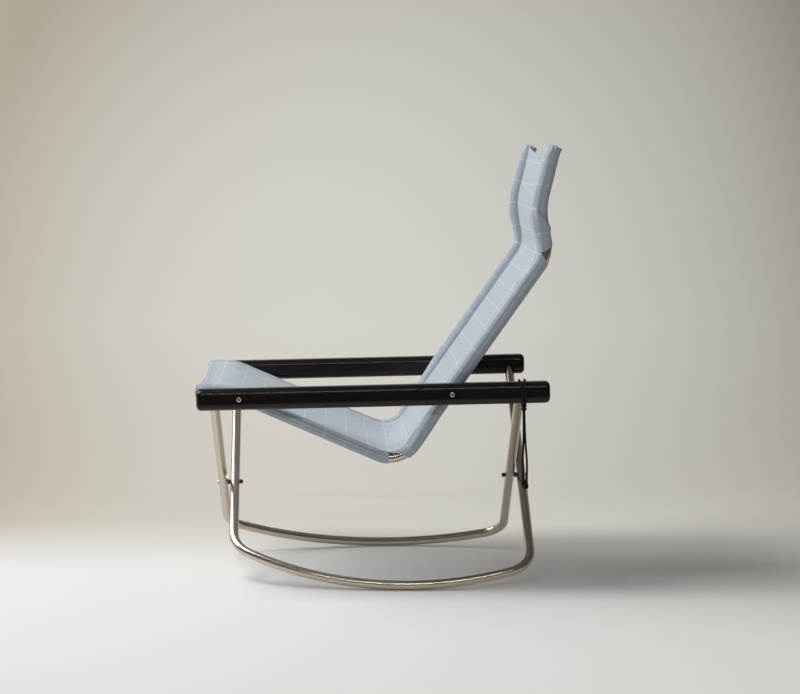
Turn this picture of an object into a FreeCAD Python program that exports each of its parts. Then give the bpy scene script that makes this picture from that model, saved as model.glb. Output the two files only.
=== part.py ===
import FreeCAD, Part
import math
import os
import Sketcher
from FreeCAD import Placement, Rotation, Vector

# Folding rocking chair: two tube frames crossed as a scissor, an arm on each, a bent rail on each arm,
# and a cloth sling between the rails. Lengths in millimetres, angles in degrees.
#
# The parts are built about the middle of the arms: X across the chair with +X on the sitter's left,
# Y to the rear, and Z up from the axis of the arms. At the end the whole chair is tipped forward by the
# lean that it rests at, stood on the floor and centred.

os.makedirs("parts", exist_ok=True)
doc = FreeCAD.newDocument("FoldingRockingChair")

SIZES = {
    # arms
    "arm_length": 685.0,
    "arm_width": 38.0,
    "arm_height": 42.5,
    "arm_corner": 14.0,
    "arm_end_round": 9.0,
    "arm_spacing": 570.0,
    # tube of the leg frames and rails
    "tube_diameter": 19.0,
    "tube_wall": 1.2,
    # leg frames
    "leg_inset": 46.0,
    "leg_gap": 5.0,
    "leg_tilt": 54.45,
    "leg_folded_tilt": 9.45,
    "leg_depth": 656.0,
    "leg_top_over": 8.0,
    "rocker_radius": 600.0,
    "rocker_offset": 65.0,
    "front_bend": 70.0,
    "rear_bend": 60.0,
    # pivots in the arms
    "slot_clearance": 1.0,
    "pivot_bolt_diameter": 8.0,
    "pivot_bolt_embed": 10.0,
    "pivot_plug_length": 24.0,
    "running_clearance": 0.05,
    # pivots where the legs cross
    "cross_bolt_diameter": 6.0,
    "cross_head_diameter": 9.0,
    "cross_head_height": 4.0,
    "cross_nut_diameter": 9.0,
    "cross_nut_height": 7.0,
    "cross_spacer_diameter": 10.0,
    "seat_gap": 0.3,
    # rails
    "rail_setback": 31.0,
    "front_bolt_inset": 82.5,
    "rear_bolt_inset": 190.3,
    "rail_overhang": 2.5,
    "front_lift": 14.0,
    "seat_slope": 24.5,
    "back_slope": 53.6,
    "neck_slope": 99.4,
    "top_slope": 75.3,
    "back_rise": 264.5,
    "neck_rise": 89.0,
    "top_rise": 114.0,
    "front_rail_bend": 80.0,
    "seat_bend": 56.0,
    "neck_bend": 62.0,
    "top_bend": 135.0,
    "rail_plug_depth": 12.0,
    # bolts that hold the rails
    "bolt_diameter": 6.0,
    "bolt_head_diameter": 10.8,
    "bolt_head_height": 3.6,
    "bolt_socket": 4.0,
    "bolt_socket_depth": 2.2,
    "counterbore_diameter": 15.0,
    "counterbore_depth": 4.0,
    "washer_diameter": 14.0,
    "insert_diameter": 9.0,
    "insert_length": 12.0,
    # sling
    "cloth_thickness": 1.4,
    "cloth_clearance": 0.3,
    "seat_notch_front": 17.0,
    "seat_notch_rear": 19.0,
    "neck_notch_length": 31.0,
    "panel_level": 4.0,
    "front_hem_scoop": 3.0,
    "top_hem_scoop": 6.0,
    "panel_sag": 4.0,
    # cord
    "cord_diameter": 4.2,
    "cord_gap": 2.6,
    "cord_pitch": 4.6,
    "cord_offset": 8.0,
    "hitch_length": 14.0,
    "hitch_width": 13.0,
    "stopper_drop": 189.0,
    "stopper_length": 17.5,
    "stopper_width": 14.0,
    # how the chair stands
    "rest_lean": 1.15,
}

sheet = doc.addObject("Spreadsheet::Sheet", "Sizes")
for row, (alias, value) in enumerate(SIZES.items(), start=1):
    sheet.set(f"A{row}", alias)
    sheet.set(f"B{row}", str(value))
    sheet.setAlias(f"B{row}", alias)
doc.recompute()


def size(alias):
    """A size from the sheet."""
    return float(sheet.get(alias))


# Places that follow from the sizes

TUBE_RADIUS = size("tube_diameter") / 2
TILT = math.radians(size("leg_tilt"))
LEG_SPAN = size("arm_length") - 2 * size("leg_inset")
LEG_SPAN_TEXT = "(Sizes.arm_length - 2 * Sizes.leg_inset)"
FRAME_OFFSET = (size("tube_diameter") + size("leg_gap")) / 2
CROSS_REACH = size("arm_spacing") / 2 / math.sin(TILT)
CROSS_HEIGHT = -CROSS_REACH * math.cos(TILT)
RAIL_X = size("arm_spacing") / 2 - size("rail_setback")
# an insert's flat end lies just under the round of the rail
INSERT_SEAT = math.sqrt(TUBE_RADIUS ** 2 - (size("insert_diameter") / 2) ** 2)
SIDES = {"left": 1, "right": -1}
ENDS = {"front": -1, "rear": 1}
RAIL_START = -size("arm_length") / 2 - size("rail_overhang")


def leg_y(side, end):
    """Where a leg of the frame that carries this side's arm stands along the chair."""
    return ENDS[end] * LEG_SPAN / 2 - SIDES[side] * FRAME_OFFSET


def bolt_y(end):
    """Where a bolt that holds the rail stands along the chair."""
    return ENDS[end] * (size("arm_length") / 2 - size(f"{end}_bolt_inset"))


# Helpers

def origin_plane(body, role):
    """The origin plane of a body with this role."""
    return next(item for item in body.Origin.OriginFeatures if item.Role == role)


def sketch_on(body, name, role, offset=None):
    """A sketch on an origin plane of its own body, moved along the plane's normal by an expression."""
    sketch = body.newObject("Sketcher::SketchObject", name)
    sketch.AttachmentSupport = (origin_plane(body, role), "")
    sketch.MapMode = "FlatFace"
    if offset is not None:
        sketch.setExpression("AttachmentOffset.Base.z", offset)
    return sketch


def bind(sketch, constraint, expression):
    """Adds a constraint and ties it to the sheet."""
    index = sketch.addConstraint(constraint)
    sketch.setExpression(f"Constraints[{index}]", expression)


def circle(sketch, x_value, radius, x_expression, radius_expression):
    """A circle centred on the sketch's X axis."""
    index = sketch.addGeometry(Part.Circle(Vector(x_value, 0, 0), Vector(0, 0, 1), radius), False)
    bind(sketch, Sketcher.Constraint("Radius", index, radius), radius_expression)
    sketch.addConstraint(Sketcher.Constraint("PointOnObject", index, 3, -1))
    if x_expression is None:
        sketch.addConstraint(Sketcher.Constraint("PointOnObject", index, 3, -2))
    else:
        bind(sketch, Sketcher.Constraint("DistanceX", index, 3, x_value), x_expression)
    return index


def tube_profile(body, name, role, offset, x_value, x_expression):
    """Two circles: the outside and the bore of the tube."""
    profile = sketch_on(body, name, role, offset)
    wall_radius = TUBE_RADIUS - size("tube_wall")
    circle(profile, x_value, TUBE_RADIUS, x_expression, "Sizes.tube_diameter / 2")
    circle(profile, x_value, wall_radius, x_expression, "Sizes.tube_diameter / 2 - Sizes.tube_wall")
    return profile


def bent_segments(corners, radii, shift=0.0):
    """Lines and arcs along corners, each bend with its radius, moved sideways by shift.

    Points lie in the YZ plane as (y, z). A positive shift is to the left of the way along the line.
    """
    pieces = []
    start = None
    for index, corner in enumerate(corners[1:-1], start=1):
        before = (corner - corners[index - 1]).normalize()
        after = (corners[index + 1] - corner).normalize()
        turn = math.atan2(before.y * after.z - before.z * after.y, before.dot(after))
        reach = radii[index - 1] * math.tan(abs(turn) / 2)
        left_before = Vector(0, -before.z, before.y)
        left_after = Vector(0, -after.z, after.y)
        hand = math.copysign(1.0, turn)
        enter = corner - before * reach
        leave = corner + after * reach
        centre = enter + left_before * (hand * radii[index - 1])
        middle = (corner - centre).normalize() * (radii[index - 1] - hand * shift) + centre
        if start is None:
            start = corners[0] + left_before * shift
        arc_start = enter + left_before * shift
        arc_end = leave + left_after * shift
        pieces.append(Part.LineSegment(start, arc_start))
        pieces.append(Part.Arc(arc_start, middle, arc_end))
        start = arc_end
        last_left = left_after
    pieces.append(Part.LineSegment(start, corners[-1] + last_left * shift))
    return pieces


def wire_of(pieces):
    """One wire of a list of curves."""
    return Part.Wire([piece.toShape() for piece in pieces])


def rod_along(wire, radius):
    """A round solid bar along a wire."""
    edge = wire.Edges[0]
    start = edge.valueAt(edge.FirstParameter)
    along = edge.tangentAt(edge.FirstParameter)
    section = Part.Wire(Part.Circle(start, along, radius).toShape())
    return wire.makePipeShell([section], True, False)


def feature(label, shape):
    """A sub-part whose shape is worked out here."""
    item = doc.addObject("Part::Feature", label)
    item.Shape = shape
    return item


def group_of(label, items):
    """Like pieces that share one node."""
    group = doc.addObject("Part::Compound", label)
    group.Links = items
    return group


# Rail route

def rail_corners():
    """The corners of a rail's route, in the plane of the rail, as (y, z) about the arm axis."""
    seat = math.radians(size("seat_slope"))
    back = math.radians(size("back_slope"))
    neck = math.radians(size("neck_slope"))
    top = math.radians(size("top_slope"))
    bolt_gap = bolt_y("rear") - bolt_y("front")
    # the seat run and the back run are lines through the two bolts
    drop = bolt_gap / (1 / math.tan(seat) + 1 / math.tan(back))
    front = Vector(0, RAIL_START, size("front_lift"))
    knee = Vector(0, bolt_y("front") - size("front_lift") / math.tan(seat), size("front_lift"))
    seat_corner = Vector(0, bolt_y("front") + drop / math.tan(seat), -drop)
    back_end = Vector(0, bolt_y("rear") + size("back_rise") / math.tan(back), size("back_rise"))
    neck_end = back_end + Vector(0, math.cos(neck), math.sin(neck)) * (size("neck_rise") / math.sin(neck))
    top_end = neck_end + Vector(0, math.cos(top), math.sin(top)) * (size("top_rise") / math.sin(top))
    return [front, knee, seat_corner, back_end, neck_end, top_end]


def rail_radii():
    """The bend radius at each inner corner of the rail."""
    return [size("front_rail_bend"), size("seat_bend"), size("neck_bend"), size("top_bend")]


# Arms

def arm_section(body):
    """The rounded section of an arm, across the chair."""
    sketch = sketch_on(body, "ArmSection", "XZ_Plane")
    half_width = size("arm_width") / 2
    half_height = size("arm_height") / 2
    corner = size("arm_corner")
    quarter = math.pi / 2
    spots = [(1, 1), (-1, 1), (-1, -1), (1, -1)]
    arcs = []
    for turn, (sx, sz) in enumerate(spots):
        centre = Vector(sx * (half_width - corner), sz * (half_height - corner), 0)
        round_edge = Part.Circle(centre, Vector(0, 0, 1), corner)
        arc = Part.ArcOfCircle(round_edge, turn * quarter, (turn + 1) * quarter)
        arcs.append(sketch.addGeometry(arc, False))
    for turn in range(4):
        first = sketch.Geometry[arcs[turn]].EndPoint
        second = sketch.Geometry[arcs[(turn + 1) % 4]].StartPoint
        line = sketch.addGeometry(Part.LineSegment(first, second), False)
        sketch.addConstraint(Sketcher.Constraint("Tangent", arcs[turn], 2, line, 1))
        sketch.addConstraint(Sketcher.Constraint("Tangent", line, 2, arcs[(turn + 1) % 4], 1))
        direction = "Horizontal" if turn % 2 == 0 else "Vertical"
        sketch.addConstraint(Sketcher.Constraint(direction, line))
    for other in arcs[1:]:
        sketch.addConstraint(Sketcher.Constraint("Equal", arcs[0], other))
    sketch.addConstraint(Sketcher.Constraint("Symmetric", arcs[0], 3, arcs[2], 3, -1, 1))
    bind(sketch, Sketcher.Constraint("Radius", arcs[0], corner), "Sizes.arm_corner")
    bind(sketch, Sketcher.Constraint("DistanceX", arcs[0], 3, half_width - corner),
         "Sizes.arm_width / 2 - Sizes.arm_corner")
    bind(sketch, Sketcher.Constraint("DistanceY", arcs[0], 3, half_height - corner),
         "Sizes.arm_height / 2 - Sizes.arm_corner")
    return sketch


def cylinder(name, radius, height, placement_from, axis):
    """A Part cylinder bound to the sheet, from a point along an axis."""
    item = doc.addObject("Part::Cylinder", name)
    item.setExpression("Radius", radius)
    item.setExpression("Height", height)
    item.Placement = Placement(placement_from, Rotation(Vector(0, 0, 1), axis))
    return item


def leg_fan(name, side, end):
    """The space that a leg top sweeps in its arm as the chair folds: two bores, the wedge between, a round end."""
    sign = SIDES[side]
    bore = TUBE_RADIUS + size("slot_clearance")
    pocket_radius = math.hypot(TUBE_RADIUS, size("leg_top_over")) + size("slot_clearance")
    reach = size("arm_height") + size("arm_width")
    spot = Vector(0, leg_y(side, end), 0)
    tools = []
    rays = []
    for label, alias in (("Open", "leg_tilt"), ("Folded", "leg_folded_tilt")):
        tilt = math.radians(size(alias))
        down = Vector(-sign * math.sin(tilt), 0, -math.cos(tilt))
        tools.append(cylinder(f"{name}{label}Bore", "Sizes.tube_diameter / 2 + Sizes.slot_clearance",
                              "Sizes.arm_height + Sizes.arm_width", spot, down))
        rays.append(down)
    side_step = Vector(0, bore, 0)
    corners = [spot - side_step, spot - side_step + rays[0] * reach, spot - side_step + rays[1] * reach]
    face = Part.Face(Part.makePolygon(corners + [corners[0]]))
    tools.append(feature(f"{name}Wedge", face.extrude(side_step * 2)))
    # the end of the leg turns in a round pocket about the pivot
    pocket = Part.makeCylinder(pocket_radius, 2 * bore, spot - side_step, Vector(0, 1, 0))
    tools.append(feature(f"{name}Pocket", pocket))
    return tools


def armrest(side):
    """An arm: a rounded bar with rounded ends, leg slots, end bores and bolt holes."""
    sign = SIDES[side]
    body = doc.addObject("PartDesign::Body", f"ArmBar{side}")
    section = arm_section(body)
    bar = body.newObject("PartDesign::Pad", "ArmPad")
    bar.Profile = section
    bar.SideType = "Symmetric"
    bar.setExpression("Length", "Sizes.arm_length")
    doc.recompute()
    ends = [f"Face{number}" for number, face in enumerate(bar.Shape.Faces, start=1)
            if abs(face.normalAt(0.0, 0.0).y) > 0.99]
    rounding = body.newObject("PartDesign::Fillet", "ArmEnds")
    rounding.Base = (bar, ends)
    rounding.setExpression("Radius", "Sizes.arm_end_round")
    doc.recompute()

    tools = []
    for end, step in ENDS.items():
        tools += leg_fan(f"Arm{side}{end}", side, end)
        # the pivot bolt goes in from the arm's end face
        end_face = Vector(0, step * size("arm_length") / 2, 0)
        inward = Vector(0, -step, 0)
        depth = (f"Sizes.arm_length / 2 - ({step * leg_y(side, end)}) + Sizes.tube_diameter / 2"
                 " + Sizes.slot_clearance + Sizes.pivot_bolt_embed")
        tools.append(cylinder(f"Arm{side}{end}BoltBore", "Sizes.pivot_bolt_diameter / 2", depth, end_face, inward))
        tools.append(cylinder(f"Arm{side}{end}HeadBore", "Sizes.counterbore_diameter / 2",
                              "Sizes.counterbore_depth", end_face, inward))
    for end in ENDS:
        outer = Vector(sign * size("arm_width") / 2, bolt_y(end), 0)
        inward = Vector(-sign, 0, 0)
        tools.append(cylinder(f"Arm{side}{end}SideBore", "Sizes.bolt_diameter / 2", "Sizes.arm_width", outer, inward))
        tools.append(cylinder(f"Arm{side}{end}SideSink", "Sizes.counterbore_diameter / 2",
                              "Sizes.counterbore_depth", outer, inward))
    cutters = doc.addObject("Part::MultiFuse", f"ArmCutters{side}")
    cutters.Shapes = tools
    arm = doc.addObject("Part::Cut", f"armrest_{side}")
    arm.Base = body
    arm.Tool = cutters
    arm.Placement = Placement(Vector(sign * size("arm_spacing") / 2, 0, 0), Rotation())
    return arm


# Leg frames

def frame_path(body):
    """Front leg, front bend, rocker, rear bend and rear leg, in the plane of the frame."""
    half = LEG_SPAN / 2
    over = size("leg_top_over")
    offset = size("rocker_offset")
    radius = size("rocker_radius")
    centre = Vector(offset, -(size("leg_depth") - radius), 0)
    sketch = sketch_on(body, "FramePath", "XY_Plane")
    bends = []
    for step, alias in ((-1, "front_bend"), (1, "rear_bend")):
        bend = size(alias)
        run = step * (half - bend) - offset
        bend_centre = Vector(step * (half - bend), centre.y - math.sqrt((radius - bend) ** 2 - run ** 2), 0)
        outward = (bend_centre - centre).normalize()
        bends.append((bend, bend_centre, math.atan2(outward.y, outward.x)))
    (front, front_centre, front_angle), (rear, rear_centre, rear_angle) = bends
    normal = Vector(0, 0, 1)
    front_leg = sketch.addGeometry(Part.LineSegment(Vector(-half, over, 0), Vector(-half, front_centre.y, 0)), False)
    front_arc = sketch.addGeometry(
        Part.ArcOfCircle(Part.Circle(front_centre, normal, front), -math.pi, front_angle), False)
    rocker = sketch.addGeometry(
        Part.ArcOfCircle(Part.Circle(centre, normal, radius), front_angle, rear_angle), False)
    rear_arc = sketch.addGeometry(Part.ArcOfCircle(Part.Circle(rear_centre, normal, rear), rear_angle, 0.0), False)
    rear_leg = sketch.addGeometry(Part.LineSegment(Vector(half, rear_centre.y, 0), Vector(half, over, 0)), False)
    chain = [front_leg, front_arc, rocker, rear_arc, rear_leg]
    for first, second in zip(chain, chain[1:]):
        sketch.addConstraint(Sketcher.Constraint("Tangent", first, 2, second, 1))
    for leg, end in ((front_leg, 1), (rear_leg, 2)):
        sketch.addConstraint(Sketcher.Constraint("Vertical", leg))
        bind(sketch, Sketcher.Constraint("DistanceY", leg, end, over), "Sizes.leg_top_over")
    bind(sketch, Sketcher.Constraint("DistanceX", front_leg, 1, -half), f"-{LEG_SPAN_TEXT} / 2")
    bind(sketch, Sketcher.Constraint("DistanceX", rear_leg, 2, half), f"{LEG_SPAN_TEXT} / 2")
    bind(sketch, Sketcher.Constraint("Radius", front_arc, front), "Sizes.front_bend")
    bind(sketch, Sketcher.Constraint("Radius", rear_arc, rear), "Sizes.rear_bend")
    bind(sketch, Sketcher.Constraint("Radius", rocker, radius), "Sizes.rocker_radius")
    bind(sketch, Sketcher.Constraint("DistanceX", rocker, 3, offset), "Sizes.rocker_offset")
    bind(sketch, Sketcher.Constraint("DistanceY", rocker, 3, centre.y), "-(Sizes.leg_depth - Sizes.rocker_radius)")
    return sketch


def cross_bore(body, name, height, height_expression, radius, radius_expression):
    """A hole through both legs, along the chair."""
    sketch = sketch_on(body, f"{name}Circle", "YZ_Plane")
    circle(sketch, height, radius, height_expression, radius_expression)
    bore = body.newObject("PartDesign::Pocket", name)
    bore.Profile = sketch
    bore.Type = "ThroughAll"
    bore.SideType = "Symmetric"
    return bore


def frame_placement(side):
    """Where a frame's plane stands: its origin between its two leg pivots, leaning across the chair."""
    sign = SIDES[side]
    along = Vector(0, 1, 0)
    up = Vector(sign * math.sin(TILT), 0, math.cos(TILT))
    turn = Rotation(along, up, along.cross(up), "XYZ")
    return Placement(Vector(sign * size("arm_spacing") / 2, -sign * FRAME_OFFSET, 0), turn)


def leg_frame(side):
    """One bent tube with its pivot holes."""
    body = doc.addObject("PartDesign::Body", f"leg_frame_{side}")
    path = frame_path(body)
    profile = tube_profile(body, "FrameTube", "XZ_Plane", "-Sizes.leg_top_over",
                           -LEG_SPAN / 2, f"-{LEG_SPAN_TEXT} / 2")
    doc.recompute()
    pipe = body.newObject("PartDesign::AdditivePipe", "FramePipe")
    pipe.Profile = profile
    pipe.Spine = (path, [f"Edge{number}" for number in range(1, 6)])
    doc.recompute()
    cross_bore(body, "ArmPivotBore", 0.0, None, size("pivot_bolt_diameter") / 2 + size("running_clearance"),
               "Sizes.pivot_bolt_diameter / 2 + Sizes.running_clearance")
    cross_bore(body, "CrossPivotBore", -CROSS_REACH, "-Sizes.arm_spacing / 2 / sin(Sizes.leg_tilt * 1deg)",
               size("cross_bolt_diameter") / 2 + size("running_clearance"),
               "Sizes.cross_bolt_diameter / 2 + Sizes.running_clearance")
    doc.recompute()
    if body.Shape.Volume >= pipe.Shape.Volume:
        raise RuntimeError("the pivot holes of a leg frame cut nothing")
    body.Placement = frame_placement(side)
    return body


def leg_top_plug(side, end):
    """The plastic plug in a leg top, bored for the pivot bolt."""
    name = f"LegPlug{side}{end}"
    barrel = cylinder(f"{name}Barrel", "Sizes.tube_diameter / 2 - Sizes.tube_wall", "Sizes.pivot_plug_length",
                      Vector(0, 0, 0), Vector(0, 0, -1))
    cap = cylinder(f"{name}Cap", "Sizes.tube_diameter / 2", "Sizes.slot_clearance / 2", Vector(0, 0, 0), Vector(0, 0, 1))
    both = doc.addObject("Part::MultiFuse", f"{name}Blank")
    both.Shapes = [barrel, cap]
    bore = cylinder(f"{name}Bore", "Sizes.pivot_bolt_diameter / 2 + Sizes.running_clearance", "Sizes.tube_diameter",
                    Vector(0, -TUBE_RADIUS, -size("leg_top_over")), Vector(0, 1, 0))
    plug = doc.addObject("Part::Cut", name)
    plug.Base = both
    plug.Tool = bore
    sign = SIDES[side]
    up = Vector(sign * math.sin(TILT), 0, math.cos(TILT))
    top = Vector(sign * size("arm_spacing") / 2, leg_y(side, end), 0) + up * size("leg_top_over")
    plug.Placement = Placement(top, Rotation(Vector(0, 0, 1), up))
    return plug


# Bolts

def button_bolt(name, shank_radius, length, spot, inward):
    """A bolt with a domed head and a six-sided socket. Its head seats at spot and its shank goes inward."""
    body = doc.addObject("PartDesign::Body", name)
    head_radius = size("bolt_head_diameter") / 2
    head = size("bolt_head_height")
    crown = head_radius * 0.45
    profile = sketch_on(body, "BoltProfile", "XZ_Plane")
    corners = [Vector(0, -length, 0), Vector(shank_radius, -length, 0), Vector(shank_radius, 0, 0),
               Vector(head_radius, 0, 0), Vector(head_radius, head * 0.3, 0)]
    crown_end = Vector(crown, head, 0)
    bulge = Vector(head_radius * 0.83, head * 0.78, 0)
    for first, second in zip(corners, corners[1:]):
        profile.addGeometry(Part.LineSegment(first, second), False)
    profile.addGeometry(Part.Arc(corners[-1], bulge, crown_end), False)
    profile.addGeometry(Part.LineSegment(crown_end, Vector(0, head, 0)), False)
    profile.addGeometry(Part.LineSegment(Vector(0, head, 0), corners[0]), False)
    count = len(profile.Geometry)
    for index in range(count):
        profile.addConstraint(Sketcher.Constraint("Coincident", index, 2, (index + 1) % count, 1))
    doc.recompute()
    turned = body.newObject("PartDesign::Revolution", "BoltTurned")
    turned.Profile = profile
    turned.ReferenceAxis = (profile, ["V_Axis"])
    turned.Angle = 360.0
    doc.recompute()
    socket_sketch = sketch_on(body, "SocketHex", "XY_Plane", "Sizes.bolt_head_height")
    across = size("bolt_socket") / math.sqrt(3)
    points = [Vector(across * math.cos(math.radians(60 * k)), across * math.sin(math.radians(60 * k)), 0)
              for k in range(6)]
    for index in range(6):
        socket_sketch.addGeometry(Part.LineSegment(points[index], points[(index + 1) % 6]), False)
    socket = body.newObject("PartDesign::Pocket", "BoltSocket")
    socket.Profile = socket_sketch
    socket.setExpression("Length", "Sizes.bolt_socket_depth")
    doc.recompute()
    if body.Shape.Volume >= turned.Shape.Volume:
        raise RuntimeError("a bolt's socket cuts nothing")
    body.Placement = Placement(spot, Rotation(Vector(0, 0, 1), inward * -1))
    return body


def arm_pivot_bolts(side):
    """The bolts in the arm's ends that the leg tops turn on."""
    bolts = []
    for end, step in ENDS.items():
        seat = size("arm_length") / 2 - size("counterbore_depth")
        reach = seat - step * leg_y(side, end) + TUBE_RADIUS + size("slot_clearance") + size("pivot_bolt_embed")
        spot = Vector(SIDES[side] * size("arm_spacing") / 2, step * seat, 0)
        bolts.append(button_bolt(f"PivotBolt{side}{end}", size("pivot_bolt_diameter") / 2, reach, spot,
                                 Vector(0, -step, 0)))
    return group_of(f"arm_pivot_bolts_{side}", bolts)


def arm_bolts(side):
    """The bolts through the arm into the rail."""
    sign = SIDES[side]
    bolts = []
    for end in ENDS:
        spot = Vector(sign * (size("arm_spacing") / 2 + size("arm_width") / 2 - size("counterbore_depth")),
                      bolt_y(end), 0)
        length = size("arm_width") / 2 - size("counterbore_depth") + size("rail_setback") - TUBE_RADIUS
        bolts.append(button_bolt(f"ArmBolt{side}{end}", size("bolt_diameter") / 2,
                                 length + size("insert_length"), spot, Vector(-sign, 0, 0)))
    return group_of(f"arm_bolts_{side}", bolts)


# Rails

def rail_placement(side):
    """A rail's plane: its own X runs to the rear and its own Y runs up."""
    turn = Rotation(Vector(0, 1, 0), Vector(0, 0, 1), Vector(1, 0, 0), "XYZ")
    return Placement(Vector(SIDES[side] * RAIL_X, 0, 0), turn)


def rail_path(body):
    """The bent route of a rail: level front end, seat run, back run, neck and head."""
    sketch = sketch_on(body, "RailPath", "XY_Plane")
    pieces = bent_segments(rail_corners(), rail_radii())
    for piece in pieces:
        if isinstance(piece, Part.Arc):
            bow = piece.toShape().Curve
            first = math.atan2(piece.StartPoint.z - bow.Center.z, piece.StartPoint.y - bow.Center.y)
            last = math.atan2(piece.EndPoint.z - bow.Center.z, piece.EndPoint.y - bow.Center.y)
            turning = (last - first + math.pi) % (2 * math.pi) - math.pi
            low, high = (first, last) if turning > 0 else (last, first)
            centre = Vector(bow.Center.y, bow.Center.z, 0)
            sketch.addGeometry(Part.ArcOfCircle(Part.Circle(centre, Vector(0, 0, 1), bow.Radius), low, high), False)
        else:
            sketch.addGeometry(Part.LineSegment(Vector(piece.StartPoint.y, piece.StartPoint.z, 0),
                                                Vector(piece.EndPoint.y, piece.EndPoint.z, 0)), False)
    return sketch


def side_rail(side):
    """One bent tube that carries a side of the cloth, with holes for its two inserts."""
    sign = SIDES[side]
    body = doc.addObject("PartDesign::Body", f"RailTube{side}")
    path = rail_path(body)
    profile = tube_profile(body, "RailSection", "YZ_Plane", "-Sizes.arm_length / 2 - Sizes.rail_overhang",
                           size("front_lift"), "Sizes.front_lift")
    doc.recompute()
    pipe = body.newObject("PartDesign::AdditivePipe", "RailPipe")
    pipe.Profile = profile
    pipe.Spine = (path, [f"Edge{number}" for number in range(1, 10)])
    doc.recompute()
    holes = []
    for end in ENDS:
        holes.append(cylinder(f"RailHole{side}{end}", "Sizes.insert_diameter / 2", "Sizes.insert_length",
                              Vector(bolt_y(end), 0, sign * TUBE_RADIUS), Vector(0, 0, -sign)))
    both = doc.addObject("Part::MultiFuse", f"RailHoles{side}")
    both.Shapes = holes
    rail = doc.addObject("Part::Cut", f"side_rail_{side}")
    rail.Base = body
    rail.Tool = both
    rail.Placement = rail_placement(side)
    return rail


def rail_inserts(side):
    """Threaded inserts in the rail, just under its outside."""
    sign = SIDES[side]
    inserts = []
    for end in ENDS:
        name = f"Insert{side}{end}"
        spot = Vector(sign * (RAIL_X + INSERT_SEAT), bolt_y(end), 0)
        inward = Vector(-sign, 0, 0)
        blank = cylinder(f"{name}Blank", "Sizes.insert_diameter / 2", "Sizes.insert_length", spot, inward)
        bore = cylinder(f"{name}Bore", "Sizes.bolt_diameter / 2", "Sizes.insert_length", spot, inward)
        insert = doc.addObject("Part::Cut", name)
        insert.Base = blank
        insert.Tool = bore
        inserts.append(insert)
    return group_of(f"rail_inserts_{side}", inserts)


def rail_washers(side):
    """Saddle washers between the arm and the rail."""
    sign = SIDES[side]
    washers = []
    for end, slope in (("front", -size("seat_slope")), ("rear", size("back_slope"))):
        name = f"Washer{side}{end}"
        face = sign * (size("arm_spacing") / 2 - size("arm_width") / 2)
        spot = Vector(face, bolt_y(end), 0)
        inward = Vector(-sign, 0, 0)
        blank = cylinder(f"{name}Blank", "Sizes.washer_diameter / 2",
                         "Sizes.rail_setback - Sizes.arm_width / 2", spot, inward)
        bore = cylinder(f"{name}Bore", "Sizes.bolt_diameter / 2", "Sizes.rail_setback", spot, inward)
        along = Vector(0, math.cos(math.radians(slope)), math.sin(math.radians(slope)))
        middle = Vector(sign * RAIL_X, bolt_y(end), 0)
        saddle = cylinder(f"{name}Saddle", "Sizes.tube_diameter / 2", "Sizes.washer_diameter * 2",
                          middle - along * size("washer_diameter"), along)
        tools = doc.addObject("Part::MultiFuse", f"{name}Tools")
        tools.Shapes = [bore, saddle]
        washer = doc.addObject("Part::Cut", name)
        washer.Base = blank
        washer.Tool = tools
        washers.append(washer)
    return group_of(f"rail_washers_{side}", washers)


def rail_plugs(side):
    """Domed plugs in the two open ends of a rail."""
    corners = rail_corners()
    plugs = []
    for end, tip, inner in (("front", corners[0], corners[1]), ("top", corners[-1], corners[-2])):
        name = f"RailPlug{side}{end}"
        inward = (inner - tip).normalize()
        spot = tip + Vector(SIDES[side] * RAIL_X, 0, 0)
        stem = cylinder(f"{name}Stem", "Sizes.tube_diameter / 2 - Sizes.tube_wall", "Sizes.rail_plug_depth",
                        spot, inward)
        rim = cylinder(f"{name}Rim", "Sizes.tube_diameter / 2", "Sizes.tube_wall", spot, inward * -1)
        plug = doc.addObject("Part::MultiFuse", name)
        plug.Shapes = [stem, rim]
        plugs.append(plug)
    return group_of(f"rail_plugs_{side}", plugs)


# Pivots where the legs cross

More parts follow.
